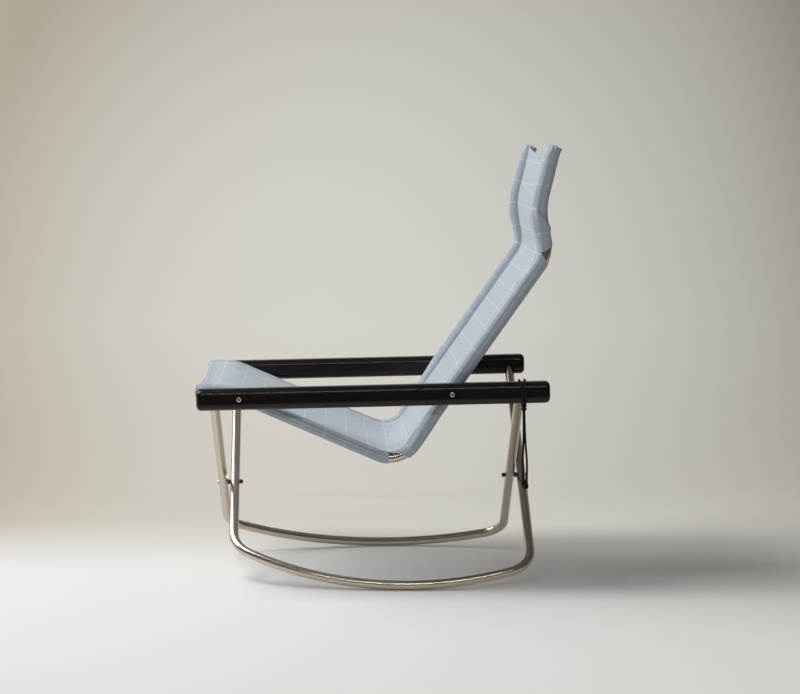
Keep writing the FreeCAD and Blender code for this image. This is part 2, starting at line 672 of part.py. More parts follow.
def cross_pivot(end):
    """The bolt through the front leg of one frame and the leg of the other behind it."""
    outward = Vector(0, ENDS[end], 0)
    middle = Vector(0, ENDS[end] * LEG_SPAN / 2, CROSS_HEIGHT)
    reach = FRAME_OFFSET + TUBE_RADIUS + size("seat_gap")
    name = f"Cross{end}"
    nut_height = size("cross_nut_height")
    thread = nut_height * 0.6
    spot = middle + outward * reach
    shank = cylinder(f"{name}Shank", "Sizes.cross_bolt_diameter / 2",
                     "2 * Sizes.tube_diameter + Sizes.leg_gap + 2 * Sizes.seat_gap + Sizes.cross_nut_height * 0.6",
                     spot, outward * -1)
    rim = size("cross_head_diameter") / 2
    height = size("cross_head_height")
    crown = Vector(rim * 0.3, 0, height)
    outline = Part.Face(Part.Wire([
        Part.LineSegment(Vector(0, 0, 0), Vector(rim, 0, 0)).toShape(),
        Part.LineSegment(Vector(rim, 0, 0), Vector(rim, 0, height * 0.3)).toShape(),
        Part.Arc(Vector(rim, 0, height * 0.3), Vector(rim * 0.8, 0, height * 0.75), crown).toShape(),
        Part.LineSegment(crown, Vector(0, 0, height)).toShape(),
        Part.LineSegment(Vector(0, 0, height), Vector(0, 0, 0)).toShape()]))
    head = feature(f"{name}Head", outline.revolve(Vector(0, 0, 0), Vector(0, 0, 1), 360))
    head.Placement = Placement(spot, Rotation(Vector(0, 0, 1), outward))
    bolt = doc.addObject("Part::MultiFuse", f"cross_bolt_{end}")
    bolt.Shapes = [shank, head]

    nut_radius = size("cross_nut_diameter") / 2
    nut_crown = Vector(nut_radius * 0.3, 0, nut_height)
    dome = Part.Face(Part.Wire([
        Part.LineSegment(Vector(0, 0, thread), Vector(size("cross_bolt_diameter") / 2, 0, thread)).toShape(),
        Part.LineSegment(Vector(size("cross_bolt_diameter") / 2, 0, thread),
                         Vector(size("cross_bolt_diameter") / 2, 0, 0)).toShape(),
        Part.LineSegment(Vector(size("cross_bolt_diameter") / 2, 0, 0), Vector(nut_radius, 0, 0)).toShape(),
        Part.LineSegment(Vector(nut_radius, 0, 0), Vector(nut_radius, 0, nut_height * 0.45)).toShape(),
        Part.Arc(Vector(nut_radius, 0, nut_height * 0.45), Vector(nut_radius * 0.78, 0, nut_height * 0.84),
                 nut_crown).toShape(),
        Part.LineSegment(nut_crown, Vector(0, 0, nut_height)).toShape(),
        Part.LineSegment(Vector(0, 0, nut_height), Vector(0, 0, thread)).toShape()]))
    nut = feature(f"CrossNut{end}", dome.revolve(Vector(0, 0, 0), Vector(0, 0, 1), 360))
    nut.Placement = Placement(middle - outward * reach, Rotation(Vector(0, 0, 1), outward * -1))

    rear = Vector(0, 1, 0)
    spacer_spot = Vector(0, ENDS[end] * LEG_SPAN / 2 - size("leg_gap") / 2 + size("seat_gap"), CROSS_HEIGHT)
    outer = cylinder(f"{name}SpacerOuter", "Sizes.cross_spacer_diameter / 2", "Sizes.leg_gap - 2 * Sizes.seat_gap",
                     spacer_spot, rear)
    bore = cylinder(f"{name}SpacerBore", "Sizes.cross_bolt_diameter / 2", "Sizes.leg_gap", spacer_spot, rear)
    spacer = doc.addObject("Part::Cut", f"CrossSpacer{end}")
    spacer.Base = outer
    spacer.Tool = bore
    return bolt, nut, spacer


# Sling

def route_between(pieces, start, end):
    """The part of a route between two distances along it."""
    kept = []
    travelled = 0.0
    for piece in pieces:
        length = piece.length()
        low = max(start - travelled, 0.0)
        high = min(end - travelled, length)
        if high - low > 1e-6:
            edge = piece.toShape()
            first = edge.getParameterByLength(low)
            last = edge.getParameterByLength(high)
            kept.append(edge.Curve.trim(first, last).toShape())
        travelled += length
    return Part.Wire(kept)


def stretch_ends():
    """Distances along the rail where the sleeve starts and ends, between its two notches."""
    pieces = bent_segments(rail_corners(), rail_radii())
    lengths = [piece.length() for piece in pieces]
    seat_middle = sum(lengths[:3]) + lengths[3] / 2
    neck_middle = sum(lengths[:5]) + lengths[5] / 2
    total = sum(lengths)
    half_neck = size("neck_notch_length") / 2
    return [(0.0, seat_middle - size("seat_notch_front")),
            (seat_middle + size("seat_notch_rear"), neck_middle - half_neck),
            (neck_middle + half_neck, total)]


def sling_sleeve(side):
    """The cloth round a rail, in three stretches, with holes at the washers and closed at the head."""
    sign = SIDES[side]
    pieces = bent_segments(rail_corners(), rail_radii())
    inner = TUBE_RADIUS + size("cloth_clearance")
    outer = inner + size("cloth_thickness")
    shells = []
    for start, end in stretch_ends():
        wire = route_between(pieces, start, end)
        shells.append(rod_along(wire, outer).cut(rod_along(wire, inner)))
    # the head end is sewn shut over the rail's plug
    corners = rail_corners()
    up = (corners[-1] - corners[-2]).normalize()
    rim = size("tube_wall") + size("cloth_clearance")
    collar = Part.makeCylinder(outer, rim, corners[-1], up).cut(Part.makeCylinder(inner, rim, corners[-1], up))
    lid = Part.makeCylinder(outer, size("cloth_thickness"), corners[-1] + up * rim, up)
    shells[-1] = shells[-1].fuse([collar, lid]).removeSplitter()
    cutters = []
    for end in ENDS:
        cutters.append(Part.makeCylinder(size("washer_diameter") / 2 + size("cloth_clearance"), outer * 2,
                                         Vector(0, bolt_y(end), 0), Vector(sign, 0, 0)))
    opened = []
    for shell in shells:
        for cutter in cutters:
            shell = shell.cut(cutter)
        opened += shell.Solids
    sleeve = feature(f"sling_sleeve_{side}", Part.makeCompound(opened))
    sleeve.Placement = Placement(Vector(sign * RAIL_X, 0, 0), Rotation())
    return sleeve


def panel_profile(low, high, shift):
    """The side view of the cloth between its lower and upper face, moved to one place across the chair."""
    under = bent_segments(rail_corners(), rail_radii(), low)
    over = bent_segments(rail_corners(), rail_radii(), high)
    edges = [piece.toShape() for piece in under]
    edges.append(Part.LineSegment(under[-1].EndPoint, over[-1].EndPoint).toShape())
    edges += [piece.toShape() for piece in reversed(over)]
    edges.append(Part.LineSegment(over[0].StartPoint, under[0].StartPoint).toShape())
    outline = Part.Wire(Part.__sortEdges__(edges))
    outline.translate(shift)
    return outline


def sling_panel():
    """The seat and back in one sheet, a little above the axes of the rails, slack between them, hollow at its hems."""
    corners = rail_corners()
    outer = TUBE_RADIUS + size("cloth_clearance") + size("cloth_thickness")
    low = size("panel_level") - size("cloth_thickness") / 2
    high = low + size("cloth_thickness")
    # the sheet ends just short of the round sides of the sleeves
    half = RAIL_X - math.sqrt(outer ** 2 - low ** 2) - size("cloth_clearance")
    print(f"panel half width {half:.2f} mm")
    sag_way = math.radians((size("back_slope") - size("seat_slope")) / 2)
    sag = Vector(0, math.sin(sag_way), -math.cos(sag_way)) * size("panel_sag")
    stations = [-1.0, -2 / 3, -1 / 3, 0.0, 1 / 3, 2 / 3, 1.0]
    outlines = [panel_profile(low, high, Vector(half * place, 0, 0) + sag * (1 - place ** 2)) for place in stations]
    panel = Part.makeLoft(outlines, True, False)
    for tip, inner, scoop in ((corners[0], corners[1], size("front_hem_scoop")),
                              (corners[-1], corners[-2], size("top_hem_scoop"))):
        inward = (inner - tip).normalize()
        radius = (half ** 2 + scoop ** 2) / (2 * scoop)
        normal = inward.cross(Vector(1, 0, 0))
        centre = tip - inward * (radius - scoop)
        tall = size("tube_diameter") * 2
        panel = panel.cut(Part.makeCylinder(radius, tall * 2, centre - normal * tall, normal))
    return feature("sling_panel", panel)


# Cord

def cord_start():
    """Where the first turn of cord lies along the left arm, just behind the slot of its rear leg."""
    return leg_y("left", "rear") + TUBE_RADIUS + size("slot_clearance") + size("cord_gap")


def cord_loops():
    """Two turns of cord round the left arm, open below where the hitch holds them."""
    gap = size("cord_diameter") / 2 + size("cloth_clearance")
    half_width = size("arm_width") / 2 + gap
    half_height = size("arm_height") / 2 + gap
    round_by = size("arm_corner") + gap
    loops = []
    for place in (cord_start(), cord_start() + size("cord_pitch")):
        corners = [Vector(0, 0, -half_height), Vector(0, -half_width, -half_height),
                   Vector(0, -half_width, half_height), Vector(0, half_width, half_height),
                   Vector(0, half_width, -half_height), Vector(0, 0, -half_height)]
        wire = wire_of(bent_segments(corners, [round_by] * 4))
        print(f"cord loop bend radius {round_by:.1f} mm")
        loop = rod_along(wire, size("cord_diameter") / 2)
        loop.Placement = Placement(Vector(size("arm_spacing") / 2, place, 0), Rotation(Vector(0, 0, 1), 90))
        loops.append(loop)
    return loops


def knot(length, width, top):
    """A tight knot as one rounded body, turned about the line of the cord."""
    flat = width * 0.28
    low = top - Vector(0, 0, length)
    outline = Part.Wire([
        Part.LineSegment(low, low + Vector(flat, 0, 0)).toShape(),
        Part.Arc(low + Vector(flat, 0, 0), top + Vector(width / 2, 0, -length / 2), top + Vector(flat, 0, 0)).toShape(),
        Part.LineSegment(top + Vector(flat, 0, 0), top).toShape(),
        Part.LineSegment(top, low).toShape()])
    return Part.Face(outline).revolve(top, Vector(0, 0, 1), 360)


def cord_nodes():
    """The cord on the left arm: its turns, its hitch, two hanging strands and a stopper knot."""
    x_middle = size("arm_spacing") / 2 + size("cord_offset")
    y_middle = cord_start()
    below = -size("arm_height") / 2 - size("cloth_clearance")
    hitch = knot(size("hitch_length"), size("hitch_width"), Vector(x_middle, y_middle, below))
    loops = [loop.cut(hitch) for loop in cord_loops()]
    stopper_top = -size("stopper_drop") + size("stopper_length")
    stopper = knot(size("stopper_length"), size("stopper_width"), Vector(x_middle, y_middle, stopper_top))
    hang_top = below - size("hitch_length") / 2
    hang_bottom = stopper_top - size("stopper_length") / 2
    run = (hang_top - hang_bottom) / 4
    strands = []
    for step in (-1, 1):
        near = step * size("cord_diameter") * 0.55
        wide = step * size("cord_pitch") * 0.9
        route = [Vector(x_middle, y_middle + near, hang_top),
                 Vector(x_middle + near, y_middle + near, hang_top - run),
                 Vector(x_middle, y_middle + near * 1.6, hang_top - 2 * run),
                 Vector(x_middle, y_middle + wide, hang_top - 3 * run),
                 Vector(x_middle, y_middle + near, hang_bottom)]
        wire, radii = cord_route(route)
        print("cord strand bend radii " + ", ".join(f"{radius:.0f}" for radius in radii) + " mm")
        strand = rod_along(wire, size("cord_diameter") / 2)
        section = math.pi * (size("cord_diameter") / 2) ** 2
        print(f"cord strand volume {strand.Volume:.0f} mm3, section times length {section * wire.Length:.0f} mm3")
        strands.append(strand.cut(hitch).cut(stopper))
    return [feature("cord_arm_loops", Part.makeCompound(loops)),
            feature("cord_hitch_knot", hitch),
            feature("cord_strand_front", strands[0]),
            feature("cord_strand_rear", strands[1]),
            feature("cord_stopper_knot", stopper)]


def cord_route(points):
    """Straight runs joined by tangent arcs, each as large as its two runs allow."""
    edges = []
    radii = []
    start = points[0]
    for index in range(1, len(points) - 1):
        corner = points[index]
        before = corner - points[index - 1]
        after = points[index + 1] - corner
        turn = before.getAngle(after)
        reach = 0.45 * min(before.Length, after.Length)
        enter = corner - before.normalize() * reach
        leave = corner + after.normalize() * reach
        radius = reach / math.tan(turn / 2)
        radii.append(radius)
        middle_way = (before * -1 + after).normalize()
        middle = corner + middle_way * (radius / math.cos(turn / 2) - radius)
        edges.append(Part.LineSegment(start, enter).toShape())
        edges.append(Part.Arc(enter, middle, leave).toShape())
        start = leave
    edges.append(Part.LineSegment(start, points[-1]).toShape())
    return Part.Wire(edges), radii


# The chair

def build_parts():
    """Every node of the chair, about the middle of the arms."""
    nodes = []
    for side in SIDES:
        nodes.append(armrest(side))
        nodes.append(leg_frame(side))
        nodes.append(group_of(f"leg_top_plugs_{side}", [leg_top_plug(side, end) for end in ENDS]))
        nodes.append(arm_pivot_bolts(side))
        nodes.append(side_rail(side))
        nodes.append(rail_plugs(side))
        nodes.append(arm_bolts(side))
        nodes.append(rail_washers(side))
        nodes.append(rail_inserts(side))
        nodes.append(sling_sleeve(side))
    nuts = []
    spacers = []
    for end in ENDS:
        bolt, nut, spacer = cross_pivot(end)
        nodes.append(bolt)
        nuts.append(nut)
        spacers.append(spacer)
    nodes.append(group_of("cross_cap_nuts", nuts))
    nodes.append(group_of("cross_spacers", spacers))
    nodes.append(sling_panel())
    return nodes


def stand_up(nodes, cords):
    """Tips the chair forward to its resting lean, stands it on the floor and centres it."""
    lean = Placement(Vector(0, 0, 0), Rotation(Vector(1, 0, 0), size("rest_lean")))
    low = Vector(1e9, 1e9, 1e9)
    high = low * -1
    for node in nodes:
        shape = node.Shape.copy()
        shape.Placement = lean.multiply(shape.Placement)
        box = shape.optimalBoundingBox(False, False)
        low = Vector(min(low.x, box.XMin), min(low.y, box.YMin), min(low.z, box.ZMin))
        high = Vector(max(high.x, box.XMax), max(high.y, box.YMax), max(high.z, box.ZMax))
    shift = Vector(-(low.x + high.x) / 2, -(low.y + high.y) / 2, -low.z)
    stand = Placement(shift, Rotation()).multiply(lean)
    for node in nodes + cords:
        node.Placement = stand.multiply(node.Placement)
    print(f"size {high.x - low.x:.1f} x {high.y - low.y:.1f} x {high.z - low.z:.1f} mm")
    return stand


def report_places(stand):
    """Prints the pivot axes in the chair's own frame, for its record."""
    axis = stand.Rotation.multVec(Vector(0, 1, 0))
    print(f"axis {axis.x:.6f} {axis.y:.6f} {axis.z:.6f}")
    cross = stand.multVec(Vector(0, 0, CROSS_HEIGHT))
    print(f"cross pivot {cross.x:.3f} {cross.y:.3f} {cross.z:.3f}")
    for side, sign in SIDES.items():
        spot = stand.multVec(Vector(sign * size("arm_spacing") / 2, 0, 0))
        print(f"arm pivot {side} {spot.x:.3f} {spot.y:.3f} {spot.z:.3f}")
    fold = size("leg_tilt") - size("leg_folded_tilt")
    print(f"fold range {fold:.3f} degrees")


def check_and_write(nodes):
    """Stops on anything that failed, then writes each node."""
    for item in doc.Objects:
        if "Invalid" in item.State or "Error" in item.State:
            raise RuntimeError(f"{item.Label} failed")
    for node in nodes:
        if node.Shape.isNull() or not node.Shape.isValid():
            raise RuntimeError(f"{node.Label} has no valid shape")
        node.Shape.exportStep(os.path.join("parts", f"{node.Label}.step"))
        print(f"{node.Label}: {len(node.Shape.Solids)} solids, {node.Shape.Volume / 1000:.2f} cm3")


chair = build_parts()
cord = cord_nodes()
doc.recompute()
placed = stand_up(chair, cord)
doc.recompute()
report_places(placed)
check_and_write(chair + cord)
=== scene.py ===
import logging
import math
from dataclasses import dataclass, field
from enum import Enum
from typing import Any, Sequence

import bmesh
import bpy
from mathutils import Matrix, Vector


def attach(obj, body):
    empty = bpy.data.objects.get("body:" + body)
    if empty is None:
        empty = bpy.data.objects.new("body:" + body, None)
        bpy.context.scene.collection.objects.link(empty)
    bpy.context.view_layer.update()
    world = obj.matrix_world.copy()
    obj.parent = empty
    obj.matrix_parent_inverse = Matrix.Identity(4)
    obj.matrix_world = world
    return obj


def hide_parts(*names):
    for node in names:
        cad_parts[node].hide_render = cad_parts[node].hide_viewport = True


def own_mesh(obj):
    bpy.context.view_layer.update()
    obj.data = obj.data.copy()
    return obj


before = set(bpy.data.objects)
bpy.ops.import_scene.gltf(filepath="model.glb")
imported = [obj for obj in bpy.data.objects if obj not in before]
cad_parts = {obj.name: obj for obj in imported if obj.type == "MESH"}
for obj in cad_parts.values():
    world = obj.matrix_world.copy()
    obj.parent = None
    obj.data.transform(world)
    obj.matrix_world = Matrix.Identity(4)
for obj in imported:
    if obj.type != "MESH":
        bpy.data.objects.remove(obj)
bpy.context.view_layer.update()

log = logging.getLogger("chair")

Point = tuple[float, float]
Triple = tuple[float, float, float]
Colour = tuple[float, float, float, float]


class Side(Enum):
    """A side of the chair, as the sitter has it."""

    LEFT = 1
    RIGHT = -1

    @property
    def word(self) -> str:
        """The side's word in the names of pieces."""
        return self.name.lower()


@dataclass(frozen=True)
class Bench:
    """The chair's own sizes in metres, measured about the middle of the arms before the chair leans."""

    lean: float = math.radians(1.15)
    origin_y: float = -0.008945
    origin_z: float = 0.389974
    arm_x: float = 0.285
    arm_height: float = 0.0425
    arm_width: float = 0.038
    rail_x: float = 0.254
    seat_slope: float = 24.5
    back_slope: float = 53.6
    front_bolt: float = -0.260
    rear_bolt: float = 0.1522

    def point(self, x: float, y: float, z: float) -> Vector:
        """A point of the bench frame in the chair's own frame.

        Args:
            x: across the chair, +X on the sitter's left.
            y: to the rear, from the middle of the arms.
            z: up, from the axis of the arms.

        Returns:
            The point, leaned and lifted to its place.
        """
        sine, cosine = math.sin(self.lean), math.cos(self.lean)
        return Vector((x, self.origin_y + y * cosine - z * sine, self.origin_z + y * sine + z * cosine))


BENCH = Bench()


def clamp(value: float) -> float:
    """A value held between nought and one."""
    return min(1.0, max(0.0, value))


def smooth(share: float) -> float:
    """A share from nought to one, eased at both ends."""
    return share * share * (3 - 2 * share)


def bell(value: float, middle: float, width: float) -> float:
    """A bell curve of height one about a middle."""
    return math.exp(-((value - middle) / width) ** 2)


# Shader building

class Socket:
    """A shader output that takes part in plain arithmetic."""

    def __init__(self, tree: "Shader", link: Any) -> None:
        """Wraps one output of a node."""
        self.tree = tree
        self.link = link

    def _maths(self, operation: str, *values: Any) -> "Socket":
        """Adds one Math node on these values."""
        return self.tree.node("ShaderNodeMath", {"operation": operation}, {i: v for i, v in enumerate(values)})

    def __add__(self, other: Any) -> "Socket":
        """This plus another value."""
        return self._maths("ADD", self, other)

    __radd__ = __add__

    def __sub__(self, other: Any) -> "Socket":
        """This less another value."""
        return self._maths("SUBTRACT", self, other)

    def __rsub__(self, other: Any) -> "Socket":
        """Another value less this."""
        return self._maths("SUBTRACT", other, self)

    def __mul__(self, other: Any) -> "Socket":
        """This times another value."""
        return self._maths("MULTIPLY", self, other)

    __rmul__ = __mul__

    def __truediv__(self, other: Any) -> "Socket":
        """This divided by another value."""
        return self._maths("DIVIDE", self, other)

    def __gt__(self, other: Any) -> "Socket":
        """One where this is greater, else nought."""
        return self._maths("GREATER_THAN", self, other)

    def __lt__(self, other: Any) -> "Socket":
        """One where this is less, else nought."""
        return self._maths("LESS_THAN", self, other)

    def apply(self, operation: str, *others: Any) -> "Socket":
        """Another operation of the Math node, such as SINE or PINGPONG."""
        return self._maths(operation, self, *others)

    def clamped(self) -> "Socket":
        """This, held between nought and one."""
        return self.apply("MAXIMUM", 0.0).apply("MINIMUM", 1.0)


class Shader:
    """One material built node by node on a Principled surface."""

    def __init__(self, name: str) -> None:
        """Starts an empty material of this name."""
        self.material = bpy.data.materials.new(name)
        self.material.use_nodes = True
        self.nodes = self.material.node_tree.nodes
        self.links = self.material.node_tree.links
        self.nodes.clear()
        self.surface = self.nodes.new("ShaderNodeBsdfPrincipled")
        output = self.nodes.new("ShaderNodeOutputMaterial")
        self.links.new(self.surface.outputs["BSDF"], output.inputs["Surface"])

    def put(self, target: Any, value: Any) -> None:
        """Links a socket into an input, or sets the input's own value."""
        if isinstance(value, Socket):
            self.links.new(value.link, target)
        else:
            target.default_value = value

    def node(self, kind: str, settings: dict[str, Any] | None = None, inputs: dict[Any, Any] | None = None,
             output: Any = 0) -> Socket:
        """Adds a node.

        Args:
            kind: the node's type.
            settings: its own settings, set first. "stops" fills a colour ramp.
            inputs: values or links of its sockets, by name or number.
            output: which output to return.

        Returns:
            The output, ready for arithmetic.
        """
        made = self.nodes.new(kind)
        for key, value in (settings or {}).items():
            if key == "stops":
                ramp = made.color_ramp.elements
                while len(ramp) < len(value):
                    ramp.new(0.5)
                for element, (place, colour) in zip(ramp, value):
                    element.position = place
                    element.color = colour
            else:
                setattr(made, key, value)
        for key, value in (inputs or {}).items():
            self.put(made.inputs[key], value)
        return Socket(self, made.outputs[output])

    def place(self, scale: Sequence[float] = (1, 1, 1)) -> Socket:
        """Object coordinates, scaled."""
        return self.scaled(self.node("ShaderNodeTexCoord", output="Object"), scale)

    def scaled(self, vector: Socket, scale: Sequence[float]) -> Socket:
        """A vector scaled on each axis."""
        return self.node("ShaderNodeMapping", {}, {"Vector": vector, "Scale": scale})

    def split(self, vector: Socket, axis: str) -> Socket:
        """One axis of a vector."""
        return self.node("ShaderNodeSeparateXYZ", {}, {0: vector}, axis)

    def map(self, name: str) -> Socket:
        """A place on a UV map."""
        return self.node("ShaderNodeUVMap", {"uv_map": name})

    def noise(self, vector: Socket, scale: float, detail: float = 3.0, roughness: float = 0.5,
              distortion: float = 0.0) -> Socket:
        """Even noise from 0 to 1."""
        return self.node("ShaderNodeTexNoise", {}, {"Vector": vector, "Scale": scale, "Detail": detail,
                                                    "Roughness": roughness, "Distortion": distortion})

    def ramp(self, value: Socket, dark: float, light: float) -> Socket:
        """A ramp from black at one value to white at another."""
        return self.node("ShaderNodeValToRGB", {"stops": [(dark, grey(0.0)), (light, grey(1.0))]}, {0: value})

    def blend(self, factor: Any, first: Any, second: Any, mode: str = "MIX") -> Socket:
        """A mix of two colours."""
        mixed = self.nodes.new("ShaderNodeMix")
        mixed.data_type = "RGBA"
        mixed.blend_type = mode
        self.put(mixed.inputs[0], factor)
        self.put(mixed.inputs[6], first)
        self.put(mixed.inputs[7], second)
        return Socket(self, mixed.outputs[2])

    def bump(self, height: Socket, depth: float, strength: float = 1.0) -> None:
        """Adds relief of this depth in metres."""
        relief = self.node("ShaderNodeBump", {}, {"Height": height, "Distance": depth, "Strength": strength})
        self.put(self.surface.inputs["Normal"], relief)

    def set(self, **values: Any) -> None:
        """Sets or links sockets of the surface, with underscores for spaces."""
        for key, value in values.items():
            self.put(self.surface.inputs[key.replace("_", " ")], value)


def grey(value: float) -> Colour:
    """A neutral colour."""
    return (value, value, value, 1.0)


def shade(red: float, green: float, blue: float) -> Colour:
    """A solid colour."""
    return (red, green, blue, 1.0)


# Finishes

@dataclass(frozen=True)
class StainedWood:
    """Open-grained wood, stained black and waxed, with the grain along the arm."""

    stain: Colour = shade(0.0060, 0.0046, 0.0042)
    bare: Colour = shade(0.0150, 0.0115, 0.0100)
    roughness: float = 0.20
    relief: float = 0.00007

    def build(self) -> bpy.types.Material:
        """Makes the material."""
        art = Shader("BlackStainedWood")
        rings = art.noise(art.place(scale=(1.0, 0.06, 1.0)), 95.0, 5.0, 0.6, 0.6)
        wave = art.noise(art.place(scale=(1.0, 0.22, 1.0)), 240.0, 3.0, 0.6)
        pores = art.ramp(art.noise(art.place(scale=(1.0, 0.035, 1.0)), 640.0, 2.0, 0.6), 0.38, 0.48)
        grain = art.ramp(rings, 0.36, 0.64)
        worn = art.noise(art.place(), 14.0, 3.0)
        art.set(Base_Color=art.blend(pores, grey(0.004), art.blend(grain, self.stain, self.bare)),
                Roughness=self.roughness - grain * 0.03 + worn * 0.06, Specular_IOR_Level=0.30)
        art.bump(grain * 0.6 + pores * 0.5 + wave * 1.0, self.relief, 0.8)
        return art.material


@dataclass(frozen=True)
class SatinSteel:
    """Steel tube drawn to a satin, warm in the studio light."""

    name: str = "SatinSteel"
    tone: Colour = shade(0.60, 0.530, 0.430)
    roughness: float = 0.21

    def build(self) -> bpy.types.Material:
        """Makes the material."""
        art = Shader(self.name)
        lines = art.noise(art.place(scale=(1.0, 0.02, 1.0)), 1500.0, 2.0)
        cloud = art.noise(art.place(), 22.0, 3.0)
        speck = art.noise(art.place(), 900.0, 1.0)
        light = art.blend(cloud * 0.35, self.tone, art.blend(0.5, self.tone, grey(0.50)))
        art.set(Base_Color=light, Metallic=1.0,
                Roughness=self.roughness - 0.05 + lines * 0.06 + cloud * 0.07)
        art.bump(lines * 0.6 + speck * 0.4, 0.00003, 0.35)
        return art.material


@dataclass(frozen=True)
class SmallPart:
    """Finish of a small fitting."""

    name: str
    tone: Colour
    metallic: float
    roughness: float

    def build(self) -> bpy.types.Material:
        """Makes the material."""
        art = Shader(self.name)
        speck = art.noise(art.place(), 1600.0, 2.0)
        cloud = art.noise(art.place(), 160.0, 2.0)
        art.set(Base_Color=art.blend(cloud * 0.3, self.tone, art.blend(1.0, self.tone, grey(0.7), "MULTIPLY")),
                Metallic=self.metallic, Roughness=self.roughness + speck * 0.08)
        art.bump(speck, 0.00002, 0.3)
        return art.material


@dataclass(frozen=True)
class BoltSteel:
    """Bright bolt heads whose hexagon sockets are painted dark inside as shade."""

    name: str = "BoltSteel"
    tone: Colour = shade(0.86, 0.84, 0.79)
    socket: float = 0.00245
    bolts: Point = (BENCH.front_bolt, BENCH.rear_bolt)

    def build(self) -> bpy.types.Material:
        """Makes the material."""
        art = Shader(self.name)
        flat = art.place(scale=(0.0, 1.0, 1.0))
        gaps = [art.node("ShaderNodeVectorMath", {"operation": "DISTANCE"},
                         {0: flat, 1: tuple(BENCH.point(0.0, along, 0.0))}, "Value") for along in self.bolts]
        # painted shade: the socket inside each bolt head is coloured near black and not metallic
        painted_socket_shade = gaps[0].apply("MINIMUM", gaps[1]) < self.socket
        speck = art.noise(art.place(), 1600.0, 2.0)
        art.set(Base_Color=art.blend(painted_socket_shade, art.blend(speck * 0.3, self.tone, grey(0.45)), grey(0.012)),
                Metallic=0.85 - painted_socket_shade * 0.85, Roughness=0.36 + speck * 0.08)
        art.bump(speck, 0.00002, 0.3)
        return art.material


@dataclass(frozen=True)
class CheckedCotton:
    """Chambray with a thin white windowpane check, mapped in metres on the cloth's own UV.

    The map "Cloth" gives places on the flat, and "Edge" is 1 across at a raw edge, else nought.
    """

    name: str = "CheckedCotton"
    ground: Colour = shade(0.306, 0.360, 0.412)
    pale: Colour = shade(0.520, 0.578, 0.638)
    line: Colour = shade(0.86, 0.87, 0.88)
    raw: Colour = shade(0.85, 0.84, 0.80)
    pitch: float = 0.046
    phase: float = 0.03625
    line_width: float = 0.0015
    stripe: float = 0.0038
    thread: float = 0.0009
    line_strength: float = 0.50
    sleeve_start: float = 0.2438
    relief: float = 0.0012

    def build(self) -> bpy.types.Material:
        """Makes the material."""
        art = Shader(self.name)
        uv = art.map("Cloth")
        across, along = art.split(uv, "X"), art.split(uv, "Y")
        edge = art.split(art.map("Edge"), "X")
        wander = art.noise(uv, 45.0, 2.0) * 0.0006 - 0.0003
        lines = self._line(across + wander, 0.0).apply("MAXIMUM", self._line(along + wander, self.phase) * 0.85)
        drift = art.noise(art.scaled(uv, (260.0, 3.0, 1.0)), 1.0, 2.0)
        fine = art.noise(art.scaled(uv, (620.0, 5.0, 1.0)), 1.0, 2.0, 0.6)
        wave = ((across + drift * 0.0016) * (2 * math.pi / self.stripe)).apply("SINE") * 0.5 + 0.5
        stripe = wave * 0.45 + fine * 0.55
        warp, weft = ((way * (2 * math.pi / self.thread)).apply("SINE") for way in (across, along))
        weave = warp * weft * 0.5 + 0.5
        slub = (art.noise(art.scaled(uv, (1100.0, 16.0, 1.0)), 1.0, 2.0)
                + art.noise(art.scaled(uv, (16.0, 1100.0, 1.0)), 1.0, 2.0)) * 0.5
        cloud = art.noise(uv, 9.0, 3.0)
        band = art.noise(art.scaled(uv, (150.0, 1.5, 1.0)), 1.0, 2.0)
        tone = art.ramp(slub * 0.25 + stripe * band * 0.60 + drift * 0.15 + band * 0.30, 0.32, 0.68)
        base = art.blend(tone, self.ground, self.pale)
        base = art.blend(weave * 0.14, base, art.blend(1.0, base, grey(0.7), "MULTIPLY"))
        base = art.blend(cloud * 0.12, base, self.pale)
        base = art.blend(lines * self.line_strength, base, self.line)
        art.set(Base_Color=art.blend(edge, base, self.raw), Roughness=0.84 + weave * 0.1,
                Sheen_Weight=0.3, Sheen_Roughness=0.5, Specular_IOR_Level=0.25)
        sleeve = across.apply("ABSOLUTE") > self.sleeve_start
        ridge = art.noise(art.scaled(uv, (210.0, 4.0, 1.0)), 1.0, 3.0, 0.6)
        art.bump(weave * 0.10 + slub * 0.15 + stripe * 0.22 + lines * 0.08 + ridge * (sleeve * 1.5 + 0.15),
                 self.relief, 0.8)
        return art.material

    def _line(self, place: Socket, phase: float) -> Socket:
        """One where a thin line of the check runs, nought between, with soft sides."""
        folded = (place - phase).apply("PINGPONG", self.pitch / 2)
        return ((self.line_width * 0.75 - folded) / (self.line_width * 0.5)).clamped()


@dataclass(frozen=True)
class SewingThread:
    """Pale blue twisted thread."""

    name: str = "SewingThread"
    tone: Colour = shade(0.42, 0.48, 0.54)

    def build(self) -> bpy.types.Material:
        """Makes the material."""
        art = Shader(self.name)
        twist = art.node("ShaderNodeTexWave", {"bands_direction": "DIAGONAL"},
                         {"Vector": art.place(), "Scale": 900.0, "Distortion": 1.0})
        art.set(Base_Color=art.blend(twist * 0.35, self.tone, grey(0.62)), Roughness=0.7, Sheen_Weight=0.2)
        art.bump(twist, 0.00005, 0.5)
        return art.material


@dataclass(frozen=True)
class Braid:
    """Black braided cord, with its plaits running round it."""

    name: str = "BlackBraid"
    tone: Colour = shade(0.004, 0.004, 0.0045)

    def build(self) -> bpy.types.Material:
        """Makes the material."""
        art = Shader(self.name)
        plait = art.node("ShaderNodeTexWave", {"wave_type": "BANDS", "bands_direction": "DIAGONAL"},
                         {"Vector": art.place(), "Scale": 260.0, "Distortion": 1.5, "Detail": 1.0})
        fuzz = art.noise(art.place(), 1400.0, 2.0)
        art.set(Base_Color=art.blend(plait * 0.5, self.tone, grey(0.010)), Roughness=0.80 + fuzz * 0.12,
                Sheen_Weight=0.05, Specular_IOR_Level=0.2)
        art.bump(plait * 0.7 + fuzz * 0.3, 0.0003, 0.8)
        return art.material


